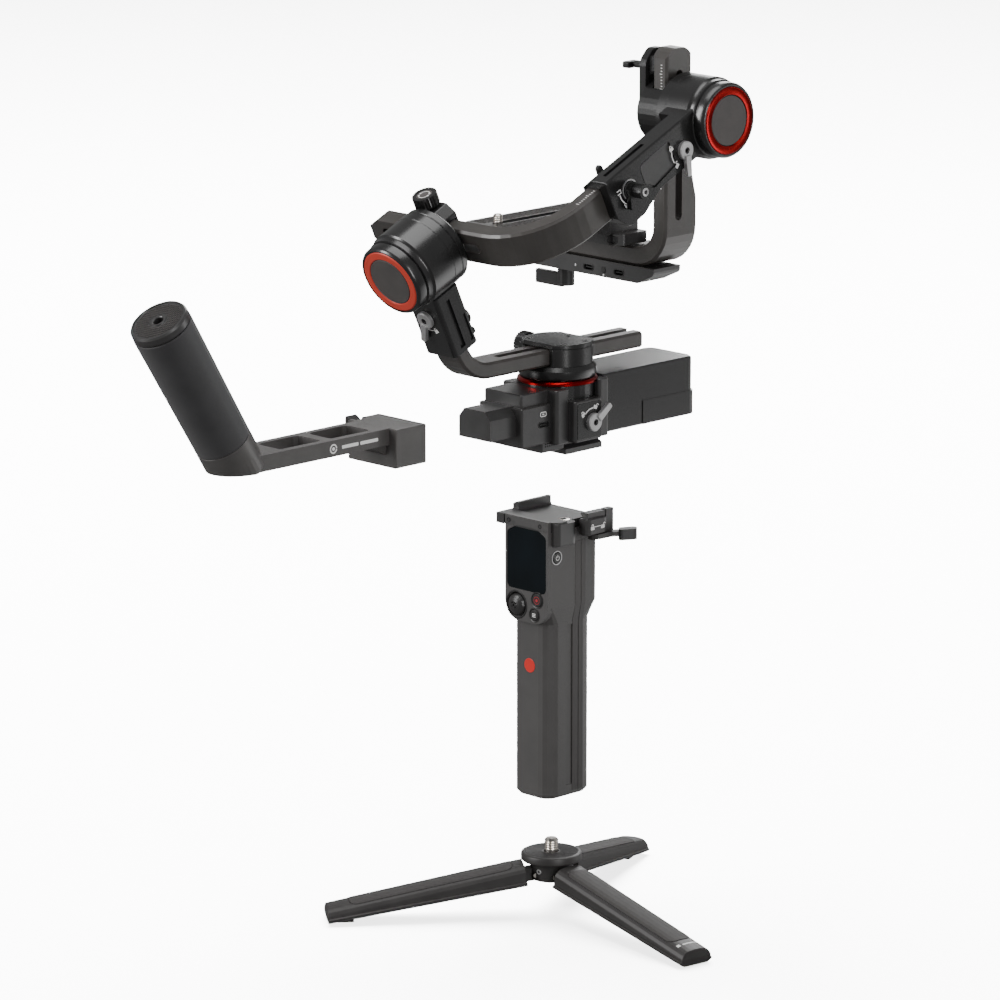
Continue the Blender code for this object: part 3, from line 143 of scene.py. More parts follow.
ALU = "anodised_aluminium"
SOFT = "soft_touch_plastic"
GLOSSY = {"Specular IOR Level": 0.75}
FUZZ = {"Sheen Weight": 0.15, "Sheen Roughness": 0.5}
LACQUER = {"Coat Weight": 0.5, "Coat Roughness": 0.08}
LOOKS = {
    "arm": finish("arm_anodised", ALU, (0.042, 0.038, 0.035), 0.35, bump=0.02,
                  rough_vary=0.03, **GLOSSY),
    # lighter colour on the arms' eased edges is a painted highlight; the edges are also a little
    # metallic and smoother
    "arm_edge_highlight": finish("arm_edge_painted_highlight", ALU, (0.100, 0.096, 0.092), 0.29, 0.2, **GLOSSY),
    "motor": finish("motor_anodised", ALU, (0.009, 0.009, 0.009), 0.25, bump=0.01,
                    rough_vary=0.02, **GLOSSY),
    # lighter colour on eased edges and rims of the dark parts is a painted highlight; the edges are
    # also a little metallic
    "motor_edge_highlight": finish("motor_edge_painted_highlight", ALU, (0.050, 0.050, 0.050), 0.26, 0.2, **GLOSSY),
    "plate": finish("plate_anodised", ALU, (0.028, 0.027, 0.027), 0.36, bump=0.02,
                    rough_vary=0.03, **GLOSSY),
    "base": finish("base_shell", ALU, (0.030, 0.029, 0.029), 0.31, bump=0.015, grain=0.35,
                   **GLOSSY),
    "bar": finish("handle_bar", ALU, (0.062, 0.058, 0.056), 0.40, bump=0.02, rough_vary=0.03,
                  **GLOSSY),
    "cap": finish("cap_matt", SOFT, (0.066, 0.060, 0.058), 0.62, bump=0.05, grain=0.3),
    "grip": finish("grip_soft_touch", SOFT, (0.058, 0.055, 0.054), 0.46, bump=0.06, grain=0.3,
                   vary=0.05, **FUZZ),
    "inlay": finish("grip_inlay", SOFT, (0.034, 0.031, 0.030), 0.40, bump=0.06, grain=0.3),
    "keys": finish("key_rubber", SOFT, (0.026, 0.025, 0.025), 0.33, bump=0.02, grain=0.3),
    "leg": finish("leg_plastic", SOFT, (0.029, 0.027, 0.026), 0.44, bump=0.04, grain=0.3),
    "gloss": finish("battery_gloss", "gloss_plastic", (0.012, 0.012, 0.012), 0.25, bump=0.005,
                    vary=0.05, rough_vary=0.01, patch=60.0, **LACQUER),
    "rubber": finish("pad_rubber", "rubber", (0.036, 0.033, 0.032), 0.62, bump=0.30, grain=0.6,
                     vary=0.20, patch=1.6),
    "tread": finish("hub_tread", "rubber", (0.017, 0.016, 0.016), 0.62, bump=0.3, grain=0.6),
    "weave": finish("pad_weave", "rubber", (0.040, 0.036, 0.033), 0.55, bump=0.7, grain=1.0,
                    depth=0.2, vary=0.55, patch=1.3),
    "foam": finish("sleeve_foam", "foam_rubber", (0.034, 0.033, 0.035), 0.60, bump=0.25,
                   grain=0.45, depth=0.08, **FUZZ),
    "glass": finish("display_glass", "display_glass", (0.0025, 0.005, 0.007), 0.09, bump=0.0,
                    vary=0.35, patch=30.0, rough_vary=0.01, **{"Specular IOR Level": 0.32}),
    "red": finish("ring_red_matt", "red_ring", (0.62, 0.055, 0.032), 0.42, 0.15, bump=0.02,
                  vary=0.05),
    "crimson": finish("ring_crimson", "red_ring", (0.27, 0.006, 0.007), 0.24, 1.0, bump=0.01,
                      vary=0.10),
    "badge": finish("badge_red", "red_ring", (0.70, 0.028, 0.022), 0.35, bump=0.0, vary=0.03),
    "silver": finish("lever_silver", "satin_silver", (0.50, 0.50, 0.50), 0.32, 0.7, bump=0.03),
    "steel": finish("screw_steel", "steel", (0.74, 0.70, 0.65), 0.24, 1.0, bump=0.02),
    "dark_steel": finish("socket_dark", "steel", (0.05, 0.05, 0.05), 0.35, 0.8, bump=0.02),
    "cell": finish("cell_wrap", "battery_wrap", (0.05, 0.16, 0.30), 0.30),
    "ink": finish("white_print", SOFT, (0.88, 0.88, 0.86), 0.6, bump=0.0, vary=0.03),
    "red_ink": finish("red_print", SOFT, (0.42, 0.02, 0.03), 0.5, bump=0.0, vary=0.05),
    # near-black finish: painted shade where holes, sockets and the port's floor lie in shadow
    "painted_shade": finish("shadow_gap", SOFT, (0.004, 0.004, 0.004), 0.8, bump=0.0),
}


# ---------------------------------------------------------------- CAD nodes

def dress(names, look, edge=None, width=0.35, angle=24, curved=False):
    """Finish and eased edges for CAD nodes; edge is the finish of the eased edges, and a lighter
    one paints a highlight on them.

    Curved nodes shade smoothly along their bends, the others keep every face flat.
    """
    for name in names.split():
        item = NODES[name]
        item.data.materials.clear()
        item.data.materials.append(LOOKS[look][0])
        item.data.materials.append(LOOKS[edge or look][0])
        item.data.polygons.foreach_set("material_index", [0] * len(item.data.polygons))
        item.data.shade_smooth()
        flat = item.modifiers.new("join_flats", "DECIMATE")
        flat.decimate_type = "DISSOLVE"
        flat.angle_limit = math.radians(0.4)
        if width:
            ease = item.modifiers.new("ease_edges", "BEVEL")
            ease.width = width * MM
            ease.segments = 2
            ease.limit_method = "ANGLE"
            ease.angle_limit = math.radians(angle)
            ease.material = 1
            ease.harden_normals = not curved
            ease.miter_outer = "MITER_SHARP"
        if curved:
            normals = item.modifiers.new("large_faces_lead", "WEIGHTED_NORMAL")
            normals.keep_sharp = True
        item.data.set_sharp_from_angle(angle=math.radians(angle))


dress("pan_arm roll_arm tilt_arm", "arm", "arm_edge_highlight", 0.45, 24, True)
dress("roll_motor_housing tilt_motor_housing pan_motor_housing roll_rotor_clamp tilt_rotor_clamp"
      " pan_rotor arm_clamp_plate", "motor", "motor_edge_highlight", 0.35, 24, True)
dress("clamp_plate clamp_jaw jaw_lever dovetail_plate camera_plate plate_clamp"
      " handle_end_cap", "plate", "motor_edge_highlight", 0.35, 24)
dress("handle_arm", "bar", "arm_edge_highlight", 0.35, 24, True)
dress("base_housing", "base", "motor_edge_highlight", 0.3, 28)
dress("battery_case", "gloss", "gloss", 0.4, 24)
dress("roll_motor_cap tilt_motor_cap", "cap", "cap", 0.15, 24)
dress("grip_rear_shell grip_front_shell", "grip", "grip", 0.35, 24, True)
dress("joystick record_button mode_button side_button trigger handle_latch tray_knob", "keys",
      "keys", 0.25, 28)
dress("tray_base", "plate", "motor_edge_highlight", 0.4, 24)
dress("tripod_hub", "leg", "leg", 0.3, 24, True)
dress("tripod_leg_1 tripod_leg_2 tripod_leg_3", "leg", "leg", 0.35, 28, True)
dress("leg_pad_1 leg_pad_2 leg_pad_3", "rubber", "rubber", 0.2, 40, True)
dress("handle_grip", "foam", "foam", 0.5, 24)
dress("display_window", "glass", "glass", 0.25, 24)
dress("pan_ring tilt_motor_ring", "crimson", "crimson", 0.15, 24)
dress("roll_motor_ring", "red", "red", 0.15, 24)
dress("pan_lock_lever roll_lock_lever tilt_lock_lever", "silver", "silver", 0.3, 24)
dress("pan_arm_knob roll_arm_knob roll_height_knob tilt_arm_lever reach_lever", "motor",
      "motor_edge_highlight", 0.2, 24)
dress("tripod_screw camera_screw tripod_socket hinge_pin_1 hinge_pin_2 hinge_pin_3", "steel",
      "steel", 0.0, 40)
dress("joystick_cradle", "dark_steel", "dark_steel", 0.1, 24)
dress("battery_cells", "cell", "cell", 0.4, 24)


# ---------------------------------------------------------------- outlines and solids

def arc(radius, start, end, count, centre=(0.0, 0.0)):
    """Points on an arc, angles in degrees."""
    steps = [math.radians(start + (end - start) * index / count) for index in range(count + 1)]
    return [(centre[0] + radius * math.cos(a), centre[1] + radius * math.sin(a)) for a in steps]


def circle(radius, count=32, centre=(0.0, 0.0)):
    return arc(radius, 0, 360 - 360 / count, count - 1, centre)


def rounded(x0, x1, y0, y1, radius, steps=5):
    corners = [(x1 - radius, y1 - radius, 0), (x0 + radius, y1 - radius, 90),
               (x0 + radius, y0 + radius, 180), (x1 - radius, y0 + radius, 270)]
    points = []
    for x, y, start in corners:
        points += arc(radius, start, start + 90, steps, (x, y))
    return points


def stroke(points, width):
    """Outline of a line of even width drawn through points."""
    left, right = [], []
    for index, point in enumerate(points):
        before = Vector(points[max(index - 1, 0)])
        after = Vector(points[min(index + 1, len(points) - 1)])
        side = (after - before).normalized().orthogonal() * width / 2
        left.append(tuple(Vector(point) + side))
        right.append(tuple(Vector(point) - side))
    return left + right[::-1]


def shifted(outline, x=0.0, y=0.0, turn=0.0, size=1.0):
    cosine, sine = math.cos(math.radians(turn)), math.sin(math.radians(turn))
    return [(x + size * (px * cosine - py * sine), y + size * (px * sine + py * cosine))
            for px, py in outline]


def wall_faces(mesh, first, second):
    """Adds a face between each side of one closed ring of vertices and the same side of another."""
    for index in range(len(first)):
        after = (index + 1) % len(first)
        mesh.faces.new((first[index], first[after], second[after], second[index]))


def slab(mesh, outline, low, high):
    """Adds a prism over an outline to a bmesh."""
    area = sum(a[0] * b[1] - b[0] * a[1] for a, b in zip(outline, outline[1:] + outline[:1]))
    if area < 0:
        outline = outline[::-1]
    bottom = [mesh.verts.new((x, y, low)) for x, y in outline]
    top = [mesh.verts.new((x, y, high)) for x, y in outline]
    mesh.faces.new(bottom[::-1])
    mesh.faces.new(top)
    wall_faces(mesh, bottom, top)


def lathe(mesh, profile, sides=40, centre=(0.0, 0.0)):
    """Adds a turned solid about local z; the profile runs from the bottom round the outside."""
    rings = []
    for radius, height in profile:
        if radius == 0:
            rings.append([mesh.verts.new((*centre, height))])
        else:
            rings.append([mesh.verts.new((x, y, height)) for x, y in circle(radius, sides, centre)])
    for lower, upper in zip(rings, rings[1:]):
        for index in range(sides):
            after = (index + 1) % sides
            corners = [lower[index % len(lower)], lower[after % len(lower)],
                       upper[after % len(upper)], upper[index % len(upper)]]
            unique = list(dict.fromkeys(corners))
            if len(unique) > 2:
                mesh.faces.new(unique)


def piece(name, look, body, matrix, build, sharp=30, ease=0.0):
    """New object made by build(bmesh) in millimetres, placed by matrix, riding on a body."""
    shape = bmesh.new()
    build(shape)
    bmesh.ops.recalc_face_normals(shape, faces=shape.faces)
    data = bpy.data.meshes.new(name)
    shape.to_mesh(data)
    shape.free()
    data.transform(matrix @ Matrix.Scale(MM, 4))
    data.materials.append(LOOKS[look][0])
    data.shade_smooth()
    data.set_sharp_from_angle(angle=math.radians(sharp))
    item = bpy.data.objects.new(name, data)
    bpy.context.scene.collection.objects.link(item)
    if ease:
        bevel = item.modifiers.new("ease_edges", "BEVEL")
        bevel.width = ease * MM
        bevel.segments = 2
        bevel.limit_method = "ANGLE"
        bevel.angle_limit = math.radians(sharp)
    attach(item, body)
    return item


PRINT = 0.07                    # thickness of printed marks


def printed(name, body, matrix, outlines, look="ink"):
    """Marks printed on a surface."""
    def build(mesh):
        for outline in outlines:
            slab(mesh, outline, -0.05, PRINT)
    return piece(name, look, body, matrix, build)


def padlock(x, y, size, turn=0.0, is_open=False):
    """Outlines of a small padlock."""
    case = rounded(-0.56, 0.56, -0.66, 0.14, 0.1, 2)
    reach = 0.5 if is_open else 0.0
    shackle = stroke(arc(0.27, 180, 0, 8, (reach, 0.3)), 0.2)
    legs = [stroke([(-0.27 + reach, 0.32), (-0.27 + reach, 0.1)], 0.2)]
    if not is_open:
        legs.append(stroke([(0.27, 0.32), (0.27, 0.1)], 0.2))
    return [shifted(outline, x, y, turn, size) for outline in [case, shackle, *legs]]


def arrow_arc(radius, start, end, width, head, both=True):
    """Outlines of an arc with an arrow head at its ends."""
    shapes = [stroke(arc(radius, start, end, 18), width)]
    sense = 1 if end > start else -1
    for angle, away in ((end, sense), (start, -sense)):
        if angle == start and not both:
            continue
        a = math.radians(angle)
        tip = math.radians(angle + away * math.degrees(head / radius))
        shapes.append([(radius * math.cos(tip), radius * math.sin(tip)),
                       ((radius + head * 0.6) * math.cos(a), (radius + head * 0.6) * math.sin(a)),
                       ((radius - head * 0.6) * math.cos(a), (radius - head * 0.6) * math.sin(a))])
    return shapes


def thin_ring(radius, width):
    """Outline of a thin printed ring, closed but for a hairline."""
    return stroke(arc(radius, 0, 352, 30), width)


def hex_screw(name, body, matrix, radius, look="dark_steel", height=1.0):
    """Socket-head screw: a chamfered head with a hexagonal recess."""
    socket = radius * 0.5

    def build(mesh):
        lathe(mesh, [(0, -0.4), (radius, -0.4), (radius, height - 0.25), (radius - 0.25, height),
                     (socket * 1.15, height), (socket, height - 0.12)], 28)
        floor = [mesh.verts.new((x, y, height - 0.9 * socket)) for x, y in circle(socket * 0.9, 6)]
        mesh.faces.new(floor)
        rim = [mesh.verts.new((x, y, height - 0.1)) for x, y in circle(socket, 6)]
        wall_faces(mesh, floor, rim)
    return piece(name, look, body, matrix, build)


# ---------------------------------------------------------------- fine parts

def lever_details():
    """Dark socket screws in the lock levers' hubs."""
    for name, joint, body in (("pan", "pan_lock_turn", "pan_lock"),
                              ("roll", "roll_lock_turn", "roll_lock"),
                              ("tilt", "tilt_lock_turn", "tilt_lock")):
        point, axis = node_axis(joint)
        side = Vector((0, 1, 0)) if abs(axis.x) > 0.5 else Vector((1, 0, 0))
        seat = plane(point, side, axis.cross(side))
        if seat.col[2].to_3d().dot(axis) < 0:
            seat = plane(point, -side, seat.col[1].to_3d())
        hex_screw(f"{name}_lock_screw", body, seat, 2.5, "dark_steel", 3.0)


def tube(mesh, profile, sides=96, centre=(0.0, 0.0)):
    """Adds a turned ring, whose closed profile doesn't touch the axis."""
    points = circle(1.0, sides)
    rings = [[mesh.verts.new((centre[0] + x * radius, centre[1] + y * radius, height))
              for x, y in points] for radius, height in profile]
    for first, second in zip(rings, rings[1:] + rings[:1]):
        wall_faces(mesh, first, second)


MOTOR_SKIN = [(22.5, 1.0), (22.5, -0.06), (23.4, -0.06), (24.2, 0.5), (24.92, 2.0), (24.92, 7.3),
              (24.2, 7.9), (24.2, 8.3), (25.72, 8.8), (25.72, 12.1), (26.1, 12.9), (27.12, 13.9),
              (27.12, 32.6), (26.9, 32.8), (26.9, 33.2), (27.12, 33.4), (27.12, 40.1),
              (26.9, 40.4), (26.4, 40.4), (26.4, 15.0), (23.9, 13.0), (23.9, 1.2)]
RING = [(16.8, 2.3), (16.8, 0.05), (17.4, -0.3), (21.5, -0.3), (22.4, 0.35), (22.4, 2.3)]
DISHED_RING = [(16.8, 2.3), (16.8, 0.1), (17.1, -0.3), (17.5, -0.3), (19.6, 0.05), (21.8, -0.3),
               (22.4, 0.2), (22.4, 2.3)]
CAP = [(0, 2.3), (16.5, 2.3), (16.5, 0.05), (16.2, -0.2), (0, -0.2)]


def turned_skins():
    """Finely turned surfaces over the motors and hub, and in place of the rings and caps."""
    across = Vector((1, 0, 0))
    roll = plane(ROLL_ORIGIN, across, ROLL_AXIS.cross(across))
    tilt = plane(in_roll(109.1, 0.0, 222.6), (0, 1, 0), (0, 0, -1))
    pan = plane(spot(0, 0, 0), across, (0, 1, 0))
    for prefix, place, ring, profile in (("roll", roll, "red", RING),
                                         ("tilt", tilt, "crimson", DISHED_RING)):
        body = f"{prefix}_motor"
        piece(f"{prefix}_motor_skin", "motor", body, place, lambda mesh: tube(mesh, MOTOR_SKIN))
        shown = piece(f"{prefix}_ring_turned", ring, body, place,
                      lambda mesh, outline=profile: tube(mesh, outline), ease=0.12)
        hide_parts(f"{prefix}_motor_ring")
        shown = piece(f"{prefix}_cap_turned", "cap", body, place,
                      lambda mesh: lathe(mesh, CAP, 96))
        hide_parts(f"{prefix}_motor_cap")
    disc = [(24.0, 41.5), (24.0, 40.95), (26.5, 40.95), (26.92, 41.4), (26.92, 45.5),
            (26.1, 46.45), (24.0, 46.45)]
    piece("roll_disc_skin", "motor", "roll_turntable", roll, lambda mesh: tube(mesh, disc))
    rim = [(23.0, 372.8), (25.5, 372.76), (26.12, 374.0), (26.12, 378.4), (24.1, 381.04),
           (23.0, 381.04)]
    piece("pan_disc_skin", "motor", "pan_turntable", pan, lambda mesh: tube(mesh, rim))
    ring = [(22.05, 368.8), (26.7, 368.8), (27.05, 369.1), (27.05, 370.4), (26.5, 371.2),
            (25.3, 371.9), (22.05, 371.9)]
    shown = piece("pan_ring_turned", "crimson", "pan_turntable", pan,
                  lambda mesh: tube(mesh, ring))
    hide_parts("pan_ring")
    for name, low, high in (("barrel", 381.1, 392.8), ("lid", 393.3, 395.9)):
        for side, start in (("right", -54), ("left", 126)):
            if (name, side) == ("barrel", "left"):
                continue
            wall = arc(23.75, start, start + 108, 44) + arc(22.4, start + 108, start, 44)
            piece(f"arm_clamp_{name}_{side}", "motor", "pan_turntable", pan,
                  lambda mesh, outline=wall, z0=low, z1=high: slab(mesh, outline, z0, z1),
                  ease=0.2)
    hub = plane(spot(0, -4.8, 0), across, (0, 1, 0))
    edge = [(15.0, 38.0), (19.7, 37.48), (20.72, 38.4), (20.72, 41.8), (20.3, 42.7),
            (19.0, 43.36), (18.5, 43.36), (18.5, 43.1), (15.0, 43.1)]
    piece("hub_rim_skin", "leg", "tripod", hub, lambda mesh: tube(mesh, edge))
    ridges = [(6.0, 43.0), (6.0, 43.25)]
    for index in range(10):
        radius = 6.6 + index * 1.18
        ridges += [(radius, 43.5), (radius + 0.5, 43.5), (radius + 0.65, 43.34)]
    ridges += [(18.3, 43.34), (18.3, 43.0)]
    piece("hub_rubber_disc", "tread", "tripod", hub, lambda mesh: tube(mesh, ridges))


TUBE_BASE = (0, -295.0, 364.2)
TUBE_END = (0, -354.2, 459.4)


def handle_details():
    """Finely turned sleeve, end cap with its knurled disc, and collar of the side handle."""
    start, end = spot(*TUBE_BASE), spot(*TUBE_END)
    length = (end - start).length / MM
    lean = (end - start).normalized()
    across = Vector((1, 0, 0))
    place = plane(start, across, lean.cross(across))
    sleeve = [(14.9, 12.0), (18.15, 12.0), (18.45, 12.3), (19.7, length - 6.8),
              (19.4, length - 6.4), (14.9, length - 6.4)]
    shown = piece("handle_sleeve_turned", "foam", "side_handle", place,
                  lambda mesh: tube(mesh, sleeve))
    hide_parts("handle_grip")
    cap = [(3.4, length - 5.7), (19.1, length - 5.7), (19.45, length - 5.3),
           (19.3, length - 1.4), (18.4, length), (17.3, length), (16.9, length - 0.7),
           (5.6, length - 0.7), (5.2, length - 0.1), (3.9, length - 0.1), (3.4, length - 0.6)]
    shown = piece("handle_cap_turned", "plate", "side_handle", place,
                  lambda mesh: tube(mesh, cap))
    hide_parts("handle_end_cap")

    def knurls(mesh):
        pitch, half = 1.5, 0.52
        count = int(17 / pitch)
        for row in range(-count, count + 1):
            for column in range(-count, count + 1):
                x, y = column * pitch, row * pitch
                if 6.4 < math.hypot(x, y) < 16.0:
                    slab(mesh, [(x - half, y), (x, y - half), (x + half, y), (x, y + half)],
                         length - 0.8, length - 0.25)
    piece("handle_cap_knurls", "cap", "side_handle", place, knurls)
    collar = [(17.4, -1.0), (18.5, -1.0), (18.5, 11.4), (18.2, 11.75), (17.4, 11.75)]
    piece("handle_collar_skin", "bar", "side_handle", place, lambda mesh: tube(mesh, collar))


def machined_details():
    """Small screws, rubber pads and ports that are too fine for the CAD."""
    top = plane(spot(0, 0, 396.0), (1, 0, 0), (0, 1, 0))
    for index, (x, y) in enumerate(((-1.5, 11.6), (18.0, 8.3), (17.6, -12.5), (-16.0, -12.0)), 1):
        hex_screw(f"clamp_lid_screw_{index}", "pan_turntable",
                  top @ Matrix.Translation((x * MM, y * MM, -0.25 * MM)), 2.1, "dark_steel", 0.5)
    for index, (x, z) in enumerate(((10.2, 62.5), (-10.2, 62.5)), 1):
        seat = plane(in_roll(x, z, 40.5), (1, 0, 0), ROLL_DOWN)
        hex_screw(f"roll_sleeve_screw_{index}", "roll_motor", seat, 2.6, "dark_steel", 1.8)
    seat = plane(spot(13.4, -7.4, 276.5), (1, 0, 0), (0, 1, 0))
    piece("clamp_screw", "steel", "grip", seat, lambda mesh: lathe(
        mesh, [(0, -0.3), (4.2, -0.3), (4.2, 0.04), (4.0, 0.12), (0, 0.12)], 36))
    # dark hexagon printed on the screw head: painted shade of its socket
    printed("clamp_screw_socket_shade", "grip", seat @ Matrix.Translation((0, 0, 0.12 * MM)),
            [circle(2.1, 6)], "painted_shade")
    seat = plane(spot(26.4, 6.0, 277.6), (1, 0, 0), (0, 1, 0))
    hex_screw("jaw_screw", "jaw", seat, 2.6, "steel", 0.9)
    seat = plane(spot(31.2, 6.8, 272.2), (0, 1, 0), (0, 0, 1))
    marks = [stroke([(-3.6, 0), (3.6, 0)], 0.5), *padlock(-4.8, 0, 3.0),
             *padlock(4.8, 0, 3.0, 0, True)]
    printed("jaw_marks", "jaw", seat, marks)

    plate = plane(spot(0, 0, 0), (1, 0, 0), (0, 1, 0))
    for name, low, high in (("left", -18.3, -5.2), ("right", 5.2, 18.3)):
        piece(f"camera_pad_{name}", "weave", "plate", plate, lambda mesh, a=low, b=high: slab(
            mesh, rounded(a, b, -63.8, 39.8, 1.2), 480.4, 481.4), ease=0.2)

        def ribs(mesh, a=low, b=high):
            for row in range(51):
                for column in range(8):
                    x = a + 1.1 + column * 1.56 + (0.78 if row % 2 else 0.0)
                    y = -62.4 + row * 2.02
                    if x < b - 0.9:
                        slab(mesh, [(x - 0.6, y), (x, y - 0.7), (x + 0.6, y), (x, y + 0.7)],
                             481.3, 481.75)
        piece(f"camera_pad_studs_{name}", "weave", "plate", plate, ribs)

    tray = plane(in_roll(0, 0, 222.6) + Vector((0, -12.42, -111.0)) * MM, (1, 0, 0), (0, 0, 1))
    for index, x in enumerate((-6.0, 22.0), 1):
        at = tray @ Matrix.Translation((x * MM, -0.05 * MM, 0))
        # the rims take the lighter edge finish, a painted highlight
        piece(f"tray_port_rim_{index}", "motor_edge_highlight", "camera_arm", at,
              lambda mesh: ring_wall(mesh, 4.4, 1.7, 0.5, 0.25))
        piece(f"tray_port_tongue_{index}", "dark_steel", "camera_arm", at,
              lambda mesh: slab(mesh, rounded(-3.0, 3.0, -0.4, 0.4, 0.3), -3.0, -0.6))
    at = tray @ Matrix.Translation((8.0 * MM, 0, 0))
    piece("tray_key", "keys", "camera_arm", at, lambda mesh: lathe(
        mesh, [(0, -0.4), (2.2, -0.4), (2.2, 0.3), (1.9, 0.5), (0, 0.5)], 28))
    printed("tray_marks", "camera_arm", tray,
            [circle(0.7, 12, (8.0, -3.4)), stroke([(-18.0, -0.8), (-18.0, 0.8)], 1.0)])
    for azimuth, number in ((233.0, 2), (353.0, 3)):
        turn = math.radians(azimuth + 46)
        out = Vector((math.cos(turn), math.sin(turn), 0))
        seat = plane(spot(14.4 * out.x, -4.8 + 14.4 * out.y, 31.6), out.cross((0, 0, -1)),
                     (0, 0, 1))
        hex_screw(f"hub_screw_{number}", "tripod", seat, 1.9, "silver", 0.5)


LEG_SLOPE = math.radians(8.8)
RIDGE = 9.8                     # height of a leg's ridge over its hinge line, at the hub
RIDGE_TAPER = 0.0345
DOME = ((0.0, 0.0), (4.0, 0.15), (7.0, 0.6), (9.2, 1.4), (11.0, 2.9))


def dome_height(x, y):
    """Height of a leg's top surface over its hinge line."""
    for (near, drop), (far, lower) in zip(DOME, DOME[1:]):
        if abs(y) <= far:
            break
    return RIDGE - RIDGE_TAPER * x - drop - (abs(y) - near) / (far - near) * (lower - drop)


def leg_mark():
    """Plain bar and dot printed across the end of the leg that points forward right."""
    point, axis = node_axis("leg_fold_3")
    turn = math.radians(353.0)
    out = Vector((math.cos(turn) * math.cos(LEG_SLOPE), math.sin(turn) * math.cos(LEG_SLOPE),
                  -math.sin(LEG_SLOPE)))
    across = Vector((-math.sin(turn), math.cos(turn), 0))
    place = plane(point, out, across)

    def ribbon(mesh, x0, x1, places):
        rows = [[mesh.verts.new((x, y, dome_height(x, y) + lift)) for x, lift in
                 ((x0, -0.2), (x0, 0.1), (x1, 0.1), (x1, -0.2))] for y in places]
        mesh.faces.new(rows[0])
        mesh.faces.new(rows[-1][::-1])
        for first, second in zip(rows, rows[1:]):
            wall_faces(mesh, first, second)

    def mark(mesh):
        ribbon(mesh, 132.2, 133.5, [-4.0, -2.0, 0.0, 2.0, 4.0, 6.0, 7.0, 8.6])
        ribbon(mesh, 131.4, 133.8, [-8.4, -7.0, -6.0])
    piece("leg_3_mark", "ink", "leg_3", place, mark)


def handle_mark():
    """Plain ring and bar printed on the side of the handle's arm."""
    side = plane(spot(16.0, -220.2, 358.6), (0, 1, 0), (0, 0, 1))
    marks = [thin_ring(2.7, 1.0), circle(1.2, 20)]
    marks += [rounded(7.5, 22.0, -1.1, 1.1, 0.5, 3), rounded(23.6, 39.4, -1.1, 1.1, 0.5, 3)]
    printed("handle_mark", "side_handle", side, marks)


def pan_label():
    """Label plate round the pan lock lever."""
    face = plane(spot(31.0, 1.6, 344.2), (0, 1, 0), (0, 0, 1))
    piece("pan_label_plate", "gloss", "head", face,
          lambda mesh: slab(mesh, rounded(-14.2, 8.0, -10.6, 13.6, 1.2), -0.2, 0.35), ease=0.15)
    raised = face @ Matrix.Translation((0, 0, 0.35 * MM))
    marks = [stroke(arc(9.4, 150, 84, 14), 0.85)]
    marks += padlock(-9.2, 6.4, 3.0, 30)
    marks += padlock(2.6, 10.4, 3.0, -20, True)
    printed("pan_lock_marks", "head", raised, marks)


def sleeve_marks():
    """Marks on the motor sleeves, round their lock levers and the reach lever."""
    face = plane(in_roll(-0.3, 40.5, 18.0), (1, 0, 0), -ROLL_DOWN)
    marks = [stroke(arc(9.0, -108, -72, 12), 0.7), *padlock(4.6, -8.4, 3.0, 25)]
    printed("roll_lock_marks", "roll_motor", face, marks)
    face = plane(in_roll(100.0, 0.8, 185.5), ROLL_AXIS, -ROLL_DOWN)
    marks = [stroke(arc(11.4, 156, 196, 14), 0.85)]
    marks += padlock(-10.0, 7.2, 3.0, 10)
    marks += padlock(-9.8, -5.6, 3.0, 30, True)
    printed("tilt_lock_marks", "tilt_motor", face, marks)
    face = plane(in_roll(100.0, -2.8, 131.5), ROLL_AXIS, -ROLL_DOWN)
    marks = [stroke(arc(9.4, 172, 216, 14), 0.85)]
    marks += [stroke([(-11.0, 4.6), (-7.6, 4.6), (-7.6, 2.2), (-11.0, 2.2)], 0.7)]
    marks += padlock(-6.6, -7.8, 3.2, 40)
    printed("reach_lever_marks", "tilt_motor", face, marks)
    piece("reach_lever_collar", "silver", "tilt_motor", face, lambda mesh: tube(
        mesh, [(6.0, -0.2), (6.9, -0.2), (6.9, 0.5), (6.0, 0.5)], 48))
    screw = plane(Vector(JOINTS["reach_lever_turn"]["pos_m"]) + Vector((14.0, 0, 0)) * MM,
                  (0, 1, 0), (0, 0, 1))
    hex_screw("reach_lever_screw", "reach_handle", screw, 2.9, "silver", 0.5)
    tab = plane(in_roll(77.0, 0.0, 133.0), ROLL_AXIS, -ROLL_DOWN)
    piece("arm_stop_tab", "keys", "tilt_motor", tab,
          lambda mesh: slab(mesh, rounded(-2.4, 2.4, 5.5, 16.6, 2.3), -2.6, 0.2), ease=0.5)
    panel = shifted(arc(5, 90, 180, 6, (150.5, 6.5)) + arc(3, 180, 270, 4, (148.5, -2.0))
                    + [(153.0, -9.0), (176.0, -7.0), (177.0, -5.5), (177.0, 11.2), (175.6, 12.0)])
    sunk = plane(in_roll(98.72, 0.0, 0.0), ROLL_AXIS, -ROLL_DOWN)
    piece("sleeve_panel", "plate", "tilt_motor", sunk,
          lambda mesh: slab(mesh, shifted(panel, 8.1, 0.1, 0.0, 0.95), -0.3, 0.15), ease=0.3)


